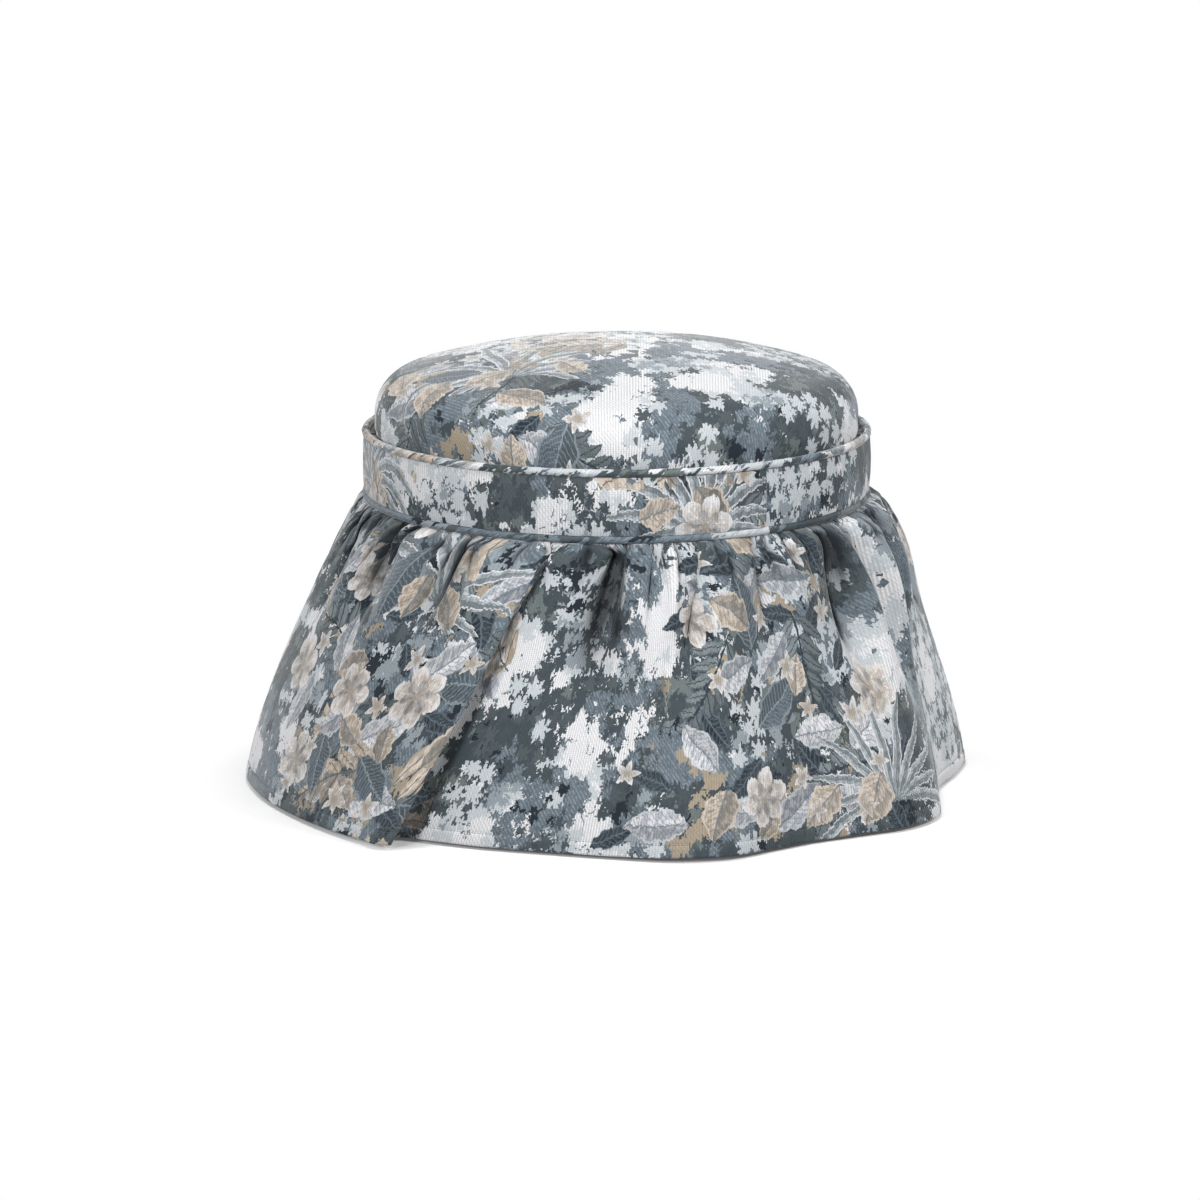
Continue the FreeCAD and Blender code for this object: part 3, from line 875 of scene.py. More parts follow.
@dataclass(frozen=True)
class BirchWood:
    """Raw plywood: streaked pale faces."""

    light: str = "d9bd92"
    dark: str = "b8935f"
    ply: float = 0.0028

    def material(self) -> bpy.types.Material:
        """Grow the wood.

        Returns:
            Its material, on the object's own axes.
        """
        shader = Shader("birch_wood")
        x, y, z = shader.object_place()
        streak = shader.lump(shader.vector(x * 6.0, y * 60.0, z * 60.0), 4.0, 4.0, 0.6)
        fleck = shader.lump(shader.vector(x * 30.0, y * 300.0, z * 300.0), 3.0, 2.0, 0.5)
        plies = ((z / self.ply).fract() < 0.5) * 0.12
        tone = (streak - 0.35) * 1.6 + (fleck - 0.5) * 0.5 + plies
        colour = shader.mix(tone, linear(self.light), linear(self.dark))
        relief = streak * 0.6 + fleck * 0.4
        return shader.finish(colour, relief, 0.0002, Roughness=fleck * 0.15 + 0.58)


@dataclass(frozen=True)
class PlainStuff:
    """A stuff of one colour with a grain: foam, wadding, cord, plastic or steel."""

    name: str
    light: str
    dark: str
    grain: float
    relief: float
    roughness: float
    metallic: float = 0.0

    def material(self) -> bpy.types.Material:
        """Make the stuff.

        Returns:
            Its material, on the object's own axes.
        """
        shader = Shader(self.name)
        x, y, z = shader.object_place()
        place = shader.vector(x, y, z)
        fine = shader.lump(place, self.grain, 3.0, 0.6)
        broad = shader.lump(place, self.grain * 0.08, 2.0, 0.5)
        tone = (fine - 0.5) * 1.2 + (broad - 0.5) * 0.8 + 0.4
        colour = shader.mix(tone, linear(self.light), linear(self.dark))
        rough = (fine - 0.5) * 0.2 + self.roughness
        return shader.finish(colour, fine, self.relief, Roughness=rough, Metallic=self.metallic)


class Finishes:
    """Every finish of the ottoman, made once."""

    def __init__(self) -> None:
        """Make the materials."""
        self.cover = VerdureCloth().material()
        pale_cloth = VerdureCloth(name="pale_cloth", ground="aeb5ba", fill=-0.2, beds=0.0)
        self.pale_cover = pale_cloth.material()
        slate_cloth = VerdureCloth(name="slate_cloth", pale="717d87", ground="7a858d", fill=0.3, beds=0.0)
        self.plain_cover = slate_cloth.material()
        self.lining = LiningCloth().material()
        self.dust = DustCloth().material()
        self.wood = BirchWood().material()
        self.foam = PlainStuff("seat_foam", "e8dcae", "cdbb86", 700.0, 0.0006, 0.9).material()
        self.wadding = PlainStuff("fibre_wadding", "ecebe6", "cfcdc6", 260.0, 0.0012, 0.95).material()
        self.cord = PlainStuff("cotton_cord", "d8cfba", "b5aa92", 900.0, 0.0005, 0.9).material()
        self.plastic = PlainStuff("glide_plastic", "17171a", "242428", 1600.0, 0.00005, 0.46).material()
        self.steel = PlainStuff("zinc_steel", "b9b4a6", "948e80", 500.0, 0.00003, 0.34, 1.0).material()
        self.thread = PlainStuff("sewing_thread", "5c656a", "3f474c", 2500.0, 0.0001, 0.7).material()


class Piece:
    """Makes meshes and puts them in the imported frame."""

    @staticmethod
    def grid(name: str, points: np.ndarray, cloth: np.ndarray, closed: bool) -> bpy.types.Object:
        """Make a mesh from rows and columns of points.

        Args:
            name: The piece's name.
            points: Rows by columns by 3 places.
            cloth: Rows by columns + 1 by 2 places on the flat cloth.
            closed: Whether the last column joins the first.

        Returns:
            The piece, with smooth faces that turn outwards where the rows run down and columns run
            to the right as seen from outside.
        """
        rows, columns = points.shape[:2]
        across = columns if closed else columns - 1
        i, j = np.meshgrid(np.arange(rows - 1), np.arange(across), indexing="ij")
        right = (j + 1) % columns
        corners = [(i, j), (i + 1, j), (i + 1, right), (i, right)]
        faces = np.stack([a * columns + b for a, b in corners], axis=-1).reshape(-1, 4)
        flat = [(i, j), (i + 1, j), (i + 1, j + 1), (i, j + 1)]
        places = np.stack([cloth[a, b] for a, b in flat], axis=2).reshape(-1, 2)
        return Piece.mesh(name, points.reshape(-1, 3), faces, places)

    @staticmethod
    def mesh(
        name: str, points: np.ndarray, faces: np.ndarray, places: np.ndarray | None
    ) -> bpy.types.Object:
        """Make a piece from four-sided faces.

        Args:
            name: The piece's name.
            points: Its points.
            faces: Four point numbers for each face.
            places: The place on the flat cloth of each face's corners, if it is cloth.

        Returns:
            The piece.
        """
        made = bpy.data.meshes.new(name)
        made.vertices.add(len(points))
        made.vertices.foreach_set("co", points.astype(np.float32).ravel())
        made.loops.add(faces.size)
        made.loops.foreach_set("vertex_index", faces.astype(np.int32).ravel())
        made.polygons.add(len(faces))
        made.polygons.foreach_set("loop_start", np.arange(0, faces.size, 4, dtype=np.int32))
        made.polygons.foreach_set("use_smooth", np.ones(len(faces), dtype=bool))
        if places is not None:
            layer = made.uv_layers.new(name=CLOTH_UV)
            layer.data.foreach_set("uv", places.astype(np.float32).ravel())
        made.update(calc_edges=True)
        made.validate()
        piece = bpy.data.objects.new(name, made)
        bpy.context.scene.collection.objects.link(piece)
        return piece

    @staticmethod
    def weld(piece: bpy.types.Object) -> None:
        """Close the pole or the seam at which points of a piece lie on one another.

        Args:
            piece: The piece.
        """
        made = bmesh.new()
        made.from_mesh(piece.data)
        bmesh.ops.remove_doubles(made, verts=made.verts, dist=WELD)
        made.to_mesh(piece.data)
        made.free()

    @staticmethod
    def thicken(piece: bpy.types.Object, thickness: float) -> None:
        """Give a sheet its thickness, inwards, and keep the result in its mesh.

        Args:
            piece: The sheet.
            thickness: Its thickness.
        """
        solid = piece.modifiers.new("thickness", "SOLIDIFY")
        solid.thickness = thickness
        solid.offset = -1.0
        solid.use_even_offset = False
        Piece.bake(piece)

    @staticmethod
    def bake(piece: bpy.types.Object) -> None:
        """Turn a piece's modifiers into plain mesh.

        Args:
            piece: The piece.
        """
        graph = bpy.context.evaluated_depsgraph_get()
        made = bpy.data.meshes.new_from_object(piece.evaluated_get(graph))
        piece.modifiers.clear()
        old = piece.data
        piece.data = made
        made.name = piece.name
        bpy.data.meshes.remove(old)

    @staticmethod
    def dress(
        piece: bpy.types.Object,
        finish: bpy.types.Material,
        body: Body,
        slot: Slot,
        nodes: Sequence[str] = (),
    ) -> None:
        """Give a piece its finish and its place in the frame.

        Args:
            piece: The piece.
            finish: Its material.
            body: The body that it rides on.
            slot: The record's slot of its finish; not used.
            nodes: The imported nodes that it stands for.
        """
        piece.data.materials.clear()
        piece.data.materials.append(finish)
        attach(piece, body.value)
        if nodes:
            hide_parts(*nodes)
        LOG.info("%s: %d faces on %s", piece.name, len(piece.data.polygons), body.value)


class Bead(Enum):
    """The shape that a row repeats: a rounded stitch or a straight length of wire."""

    STITCH = "GeometryNodeMeshUVSphere"
    WIRE = "GeometryNodeMeshCylinder"


@dataclass
class Row:
    """A row of stitches or staples along a line, set out by Geometry Nodes."""

    name: str
    bead: Bead
    pitch: float
    length: float
    thickness: float

    def group(self) -> bpy.types.NodeTree:
        """Make the node group: a line is cut in even steps and each step gets one bead.

        Returns:
            The group, with the line, the bead's sizes and its finish as inputs.
        """
        tree = bpy.data.node_groups.new(self.name, "GeometryNodeTree")
        face = tree.interface
        face.new_socket("Line", in_out="INPUT", socket_type="NodeSocketGeometry")
        for label in ("Pitch", "Length", "Thickness"):
            face.new_socket(label, in_out="INPUT", socket_type="NodeSocketFloat")
        face.new_socket("Finish", in_out="INPUT", socket_type="NodeSocketMaterial")
        face.new_socket("Row", in_out="OUTPUT", socket_type="NodeSocketGeometry")
        start = tree.nodes.new("NodeGroupInput")
        end = tree.nodes.new("NodeGroupOutput")
        line = tree.nodes.new("GeometryNodeMeshToCurve")
        steps = tree.nodes.new("GeometryNodeResampleCurve")
        steps.mode = "LENGTH"
        along = tree.nodes.new("GeometryNodeInputTangent")
        turn = tree.nodes.new("FunctionNodeAlignRotationToVector")
        turn.axis = "Z"
        bead = tree.nodes.new(self.bead.value)
        bead.inputs[0].default_value = 6
        bead.inputs["Radius"].default_value = 0.5
        if self.bead is Bead.WIRE:
            bead.inputs["Depth"].default_value = 1.0
        else:
            bead.inputs["Rings"].default_value = 4
        size = tree.nodes.new("ShaderNodeCombineXYZ")
        place = tree.nodes.new("GeometryNodeInstanceOnPoints")
        solid = tree.nodes.new("GeometryNodeRealizeInstances")
        finish = tree.nodes.new("GeometryNodeSetMaterial")
        link = tree.links.new
        link(start.outputs["Line"], line.inputs["Mesh"])
        link(line.outputs["Curve"], steps.inputs["Curve"])
        link(start.outputs["Pitch"], steps.inputs["Length"])
        link(steps.outputs["Curve"], place.inputs["Points"])
        link(along.outputs[0], turn.inputs["Vector"])
        link(bead.outputs["Mesh"], place.inputs["Instance"])
        link(turn.outputs[0], place.inputs["Rotation"])
        link(start.outputs["Thickness"], size.inputs[0])
        link(start.outputs["Thickness"], size.inputs[1])
        link(start.outputs["Length"], size.inputs[2])
        link(size.outputs[0], place.inputs["Scale"])
        link(place.outputs[0], solid.inputs[0])
        link(solid.outputs[0], finish.inputs["Geometry"])
        link(start.outputs["Finish"], finish.inputs["Material"])
        link(finish.outputs[0], end.inputs["Row"])
        return tree

    def build(self, lines: Sequence[np.ndarray], finish: bpy.types.Material) -> bpy.types.Object:
        """Set the row out.

        Args:
            lines: The places of each line that the row follows.
            finish: The material of its beads.

        Returns:
            The row as one plain mesh.
        """
        points = np.concatenate(lines)
        edges = []
        first = 0
        for line in lines:
            edges += [(i, i + 1) for i in range(first, first + len(line) - 1)]
            first += len(line)
        made = bpy.data.meshes.new(self.name)
        made.from_pydata(points.tolist(), edges, [])
        piece = bpy.data.objects.new(self.name, made)
        bpy.context.scene.collection.objects.link(piece)
        modifier = piece.modifiers.new(self.name, "NODES")
        tree = self.group()
        modifier.node_group = tree
        values = {"Pitch": self.pitch, "Length": self.length, "Thickness": self.thickness}
        values["Finish"] = finish
        for socket in tree.interface.items_tree:
            if socket.name in values:
                modifier[socket.identifier] = values[socket.name]
        Piece.bake(piece)
        return piece


def bearings(columns: int, start: float = -math.pi) -> np.ndarray:
    """Give the angles of the columns' edges, once round to the right from a start, else the back."""
    return np.arange(columns + 1) * TURN / columns + start


def turned(
    radius: np.ndarray, height: np.ndarray, columns: int, start: float = -math.pi
) -> tuple[np.ndarray, np.ndarray]:
    """Turn an outline about the vertical axis.

    Args:
        radius: The outline's radii, from its upper or inner end down or out.
        height: The outline's heights.
        columns: Steps round the axis.
        start: The angle of the first column.

    Returns:
        Rows by columns of places, and the angles of the columns from the front.
    """
    angle = bearings(columns, start)[:-1]
    points = np.empty((len(radius), columns, 3))
    points[..., 0] = radius[:, None] * np.sin(angle)
    points[..., 1] = -radius[:, None] * np.cos(angle)
    points[..., 2] = height[:, None]
    return points, angle


def ripple(angle: np.ndarray, count: int, low: int, high: int, seed: int) -> np.ndarray:
    """Give an uneven wave round the axis.

    Args:
        angle: Angles round the axis.
        count: Number of waves that are added up.
        low: Fewest turns of a wave.
        high: Most turns of a wave.
        seed: Fixes the draw.

    Returns:
        Heights of about -1 to 1.
    """
    draw = np.random.default_rng(seed)
    total = np.zeros_like(angle)
    for _ in range(count):
        wave = np.sin(angle * draw.integers(low, high) + draw.uniform(0, TURN))
        total += wave * draw.uniform(0.4, 1.0)
    return total / math.sqrt(count)


def spline(
    knots: np.ndarray, values: np.ndarray, period: float, gain: float, at: np.ndarray
) -> np.ndarray:
    """Draw a smooth closed curve through values.

    Args:
        knots: Where the values are, rising, within one period.
        values: The values.
        period: Where the curve closes.
        gain: What a value gains in one period.
        at: Where to read the curve.

    Returns:
        The curve's values.
    """
    count = len(knots)
    index = np.arange(-2, count + 2)
    turns = index // count
    k = knots[index % count] + turns * period
    v = values[index % count] + turns * gain
    slope = np.gradient(v, k)
    place = np.mod(at - k[2], period) + k[2]
    lap = np.round((at - place) / period)
    left = np.clip(np.searchsorted(k, place, side="right") - 1, 0, len(k) - 2)
    width = k[left + 1] - k[left]
    f = (place - k[left]) / width
    body = (2 * f**3 - 3 * f**2 + 1) * v[left] + (3 * f**2 - 2 * f**3) * v[left + 1]
    bend = (f**3 - 2 * f**2 + f) * slope[left] + (f**3 - f**2) * slope[left + 1]
    return body + bend * width + lap * gain


def run(radius: np.ndarray, height: np.ndarray) -> np.ndarray:
    """Give the length along an outline of radii and heights, from its first point."""
    return np.concatenate([[0.0], np.cumsum(np.hypot(np.diff(radius), np.diff(height)))])


def round_cloth(reach: np.ndarray, columns: int, cut: tuple[float, float]) -> np.ndarray:
    """Lay a round piece on the flat cloth.

    Args:
        reach: Each row's distance from the middle.
        columns: Steps round the axis.
        cut: Where on the cloth its middle is.

    Returns:
        Rows by columns + 1 by 2 places.
    """
    wide = bearings(columns)
    across = reach[:, None] * np.sin(wide) + cut[0]
    return np.stack([across, -reach[:, None] * np.cos(wide) + cut[1]], axis=-1)


@dataclass
class Crown:
    """The padded lid: its cover, the cloth under its board and its staples."""

    radius: float = 0.232
    seat: float = 0.3383
    top: float = 0.4281
    dome: float = 0.700
    shoulder_z: float = 0.3585
    edge: float = 0.005
    turn_under: float = 0.027
    cut: tuple[float, float] = (0.43, 1.40)
    lining_radius: float = 0.1997
    lining_z: float = 0.3385
    blocks: int = 4
    block_share: float = 0.14
    staple_radius: float = 0.184
    staple_pitch: float = 0.032
    staple_length: float = 0.010
    staple_size: float = 0.0007
    columns: int = 320
    lining_rows: int = 40
    lining_columns: int = 180

    def outline(self) -> tuple[np.ndarray, np.ndarray]:
        """Draw the cover's section from the top, over the shoulder and under the board.

        Returns:
            The section's radii and heights.
        """
        dome_z = self.top - self.dome
        rise = self.shoulder_z - dome_z
        bend = (self.dome**2 - self.radius**2 - rise**2) / (2 * (self.dome - self.radius))
        centre = self.radius - bend
        tangent = math.atan2(rise, centre)
        a = np.linspace(math.pi / 2, tangent, 46)[1:]
        b = np.linspace(tangent, 0.0, 34)[1:]
        c = np.linspace(0.0, -math.pi / 2, 9)
        corner = self.radius - self.edge
        corner_z = self.seat + self.edge
        d = np.linspace(corner, corner - self.turn_under, 14)[1:]
        side_z = np.linspace(self.shoulder_z, corner_z, 8)[1:-1]
        radius = [0.0, *(self.dome * np.cos(a)), *(centre + bend * np.cos(b))]
        height = [self.top, *(dome_z + self.dome * np.sin(a)), *(self.shoulder_z + bend * np.sin(b))]
        radius += [*np.full(len(side_z), self.radius), *(corner + self.edge * np.cos(c)), *d]
        height += [*side_z, *(corner_z + self.edge * np.sin(c)), *np.full(len(d), self.seat)]
        return np.array(radius), np.array(height)

    def build(self, finishes: Finishes) -> None:
        """Make the lid's cloth pieces.

        Args:
            finishes: The finishes.
        """
        radius, height = self.outline()
        points, angle = turned(radius, height, self.columns)
        length = run(radius, height)
        pull = ripple(angle, 9, 9, 46, 11)
        low = np.clip((self.shoulder_z + 0.012 - height) / 0.03, 0, 1) * (height > self.seat + 0.001)
        outward = np.stack([np.sin(angle), -np.cos(angle), np.zeros_like(angle)], axis=-1)
        points += outward[None] * (pull[None, :, None] * low[:, None, None] * 0.0007)
        slack = ripple(angle, 5, 2, 7, 12)
        crown_share = np.clip(length / 0.2, 0, 1) * np.clip((0.30 - length) / 0.1, 0, 1)
        points[..., 2] += crown_share[:, None] * slack[None] * 0.0011
        under = (length > length[-1] - self.turn_under + 0.004)[:, None]
        points[..., 2] += under * (np.abs(ripple(angle, 4, 40, 64, 13)) * 0.0007)[None]
        piece = Piece.grid("crown_cover", points, round_cloth(length, self.columns, self.cut), True)
        Piece.weld(piece)
        Piece.dress(piece, finishes.cover, Body.LID, Slot.COVER, ["lid_cover"])
        self.build_lining(finishes)

    def build_lining(self, finishes: Finishes) -> None:
        """Make the cloth disc under the lid's board.

        Args:
            finishes: The finishes.
        """
        radius = np.linspace(self.lining_radius, 0.0, self.lining_rows)
        height = np.full(self.lining_rows, self.lining_z)
        points, angle = turned(radius, height, self.lining_columns)
        held = np.clip((self.lining_radius - radius) / 0.05, 0, 1)[:, None]
        sag = ripple(angle, 6, 3, 19, 21)[None] * held
        points[..., 2] += 0.0002 + sag * np.clip(radius / 0.05, 0, 1)[:, None] * 0.0001
        cloth = round_cloth(radius, self.lining_columns, (0.0, 0.0))
        piece = Piece.grid("lid_lining_cloth", points, cloth, True)
        Piece.weld(piece)
        Piece.dress(piece, finishes.lining, Body.LID, Slot.LINING, ["lid_lining"])
        self.build_staples(finishes)

    def build_staples(self, finishes: Finishes) -> None:
        """Staple the lining to the board, between the blocks.

        Args:
            finishes: The finishes.
        """
        lines = []
        for block in range(self.blocks):
            first = (block + self.block_share) * TURN / self.blocks
            angle = np.linspace(first, first + (1 - 2 * self.block_share) * TURN / self.blocks, 60)
            flat = [self.staple_radius * np.cos(angle), self.staple_radius * np.sin(angle)]
            level = np.full_like(angle, self.lining_z - self.staple_size / 2)
            lines.append(np.stack([*flat, level], axis=-1))
        sizes = (self.staple_pitch, self.staple_length, self.staple_size)
        piece = Row("lid_lining_staples", Bead.WIRE, *sizes).build(lines, finishes.steel)
        Piece.dress(piece, finishes.steel, Body.LID, Slot.STEEL)


@dataclass
class Band:
    """The upholstered band and the two welts at its edges."""

    radius: float = 0.2425
    bulge: float = 0.0018
    bottom: float = 0.2871
    top: float = 0.3371
    ring: float = 0.24075
    welt: float = 0.00375
    cord: float = 0.0024
    upper_z: float = 0.34085
    lower_z: float = 0.28335
    sag: float = 0.005
    tail_inside: float = 0.22575
    tail_outside: float = 0.2315
    tail_z: float = 0.3380
    join_from: float = math.radians(21)
    join_to: float = math.radians(35)
    seam_wide: float = 0.006
    seam_deep: float = 0.0009
    strip_across: float = 0.15
    strip_along: float = 0.87
    upper_cut: float = 0.86
    lower_cut: float = 0.985
    rows: int = 26
    columns: int = 720
    cord_columns: int = 360

    def droop(self, angle: np.ndarray) -> np.ndarray:
        """Give how far the lower seam hangs down, most at the front."""
        return self.sag * ((1 + np.cos(angle)) / 2) ** 1.5

    def build(self, finishes: Finishes) -> None:
        """Make the band and its welts.

        Args:
            finishes: The finishes.
        """
        share = np.linspace(0, 1, self.rows)
        height = self.top - share * (self.top - self.bottom)
        points, angle = turned(np.full(self.rows, self.radius), height, self.columns, self.join_to)
        points[..., 2] -= share[:, None] * self.droop(angle)[None]
        puffed = np.sin(share * math.pi) ** 0.6 * self.bulge
        tuck = np.clip(1 - np.minimum(share, 1 - share) / 0.2, 0, 1)
        out = puffed[:, None] + tuck[:, None] * (ripple(angle, 8, 30, 95, 31) * 0.00035)[None]
        out += np.sin(share * math.pi)[:, None] * (ripple(angle, 6, 3, 22, 32) * 0.0006)[None]
        off = (angle - self.join_to + math.pi) % TURN - math.pi
        out -= np.exp(-((off / self.seam_wide) ** 2))[None] * self.seam_deep
        points[..., 0] += out * np.sin(angle)
        points[..., 1] -= out * np.cos(angle)
        wide = bearings(self.columns, self.join_to) - TURN
        cloth = np.empty((self.rows, self.columns + 1, 2))
        cloth[..., 0] = wide[None] * self.radius + self.strip_across
        cloth[..., 1] = ((1 - share) * (self.top - self.bottom))[:, None] + self.strip_along
        piece = Piece.grid("band_cloth", points, cloth, True)
        Piece.dress(piece, finishes.cover, Body.BASE, Slot.COVER, ["band_cover"])
        self.build_welt("upper_welt", self.upper_z, self.upper_cut, finishes)
        self.build_welt("lower_welt", self.lower_z, self.lower_cut, finishes)
        self.build_cord(finishes)

    def build_cord(self, finishes: Finishes) -> None:
        """Make the lower welt's cord, which hangs with the seam.

        Args:
            finishes: The finishes.
        """
        turn = np.linspace(0.5, -1.5, 13) * math.pi
        radius = self.ring + self.cord * np.cos(turn)
        points, angle = turned(radius, self.lower_z + self.cord * np.sin(turn), self.cord_columns)
        points[..., 2] -= self.droop(angle)[None]
        wide = bearings(self.cord_columns)
        both = np.broadcast_arrays(wide[None] * self.ring, turn[:, None] * self.cord)
        cloth = np.stack(both, axis=-1)
        piece = Piece.grid("lower_cord", points, cloth, True)
        Piece.weld(piece)
        Piece.dress(piece, finishes.cord, Body.BASE, Slot.CORD, ["lower_welt_cord"])

    def build_welt(self, name: str, height: float, cut: float, finishes: Finishes) -> None:
        """Make one welt.

        Args:
            name: The piece's name.
            height: The height of its cord's middle.
            cut: Where on the cloth its strip was cut.
            finishes: The finishes.
        """
        upper = height == self.upper_z
        turn = np.linspace(1.24, -0.72, 26) * math.pi if upper else np.linspace(0.5, -1.5, 23) * math.pi
        radius = self.ring + self.welt * np.cos(turn)
        level = height + self.welt * np.sin(turn)
        if upper:
            radius = np.concatenate([[self.tail_inside, self.tail_outside], radius])
            level = np.concatenate([[self.tail_z, self.tail_z], level])
        points, angle = turned(radius, level, self.columns)
        swell = ripple(angle, 10, 20, 140, 41 + int(cut * 10)) * 0.00022
        if not upper:
            swell += np.exp(-(((angle - self.join_to) / 0.012) ** 2)) * 0.0005
        flat = [self.ring * np.sin(angle), -self.ring * np.cos(angle)]
        centre = np.stack([*flat, np.full_like(angle, height)], axis=-1)
        start = 2 if upper else 0
        points[start:] = centre + (points[start:] - centre) * (1 + swell / self.welt)[None, :, None]
        if not upper:
            points[..., 2] -= self.droop(angle)[None]
        length = run(radius, level)
        wide = bearings(self.columns)
        cloth = np.empty((len(radius), self.columns + 1, 2))
        cloth[..., 0] = wide[None] * self.ring * 0.72 + length[:, None] * 0.7
        cloth[..., 1] = cut + length[:, None] * 0.7 - wide[None] * self.ring * 0.02
        piece = Piece.grid(name, points, cloth, True)
        finish = finishes.cover if upper else finishes.plain_cover
        Piece.dress(piece, finish, Body.BASE, Slot.COVER, [name + "_cover"])
        if not upper:
            piece.data.materials.append(finishes.pale_cover)
            pale = (angle > self.join_from) & (angle < self.join_to)
            index = np.tile(pale, len(radius) - 1).astype(np.int32)
            piece.data.polygons.foreach_set("material_index", index)
            Piece.weld(piece)


@dataclass(frozen=True)
class HemPoint:
    """A point of the hem: degrees from the front and the radius in millimetres."""

    degrees: float
    radius: float


@dataclass(frozen=True)
class UpperFold:
    """A fold that starts at the seam and fades out above the hem.

    Degrees from the front at the seam, millimetres out (or in, for a crease), width in millimetres,
    the shares of the drop of its middle and its spread, how far it leans to the right on the way down,
    and the millimetres that the cloth on a crease's right hangs over it.
    """

    degrees: float
    out: float
    width: float
    middle: float
    spread: float
    lean: float
    over: float = 0.0


@dataclass
class Gathers:
    """What the gathers do to each place: metres outwards and to the right, and how much painted shade
    darkens it in a crease.
    """

    out: np.ndarray
    along: np.ndarray
    # Painted shade, deepest in the creases
    dark: np.ndarray


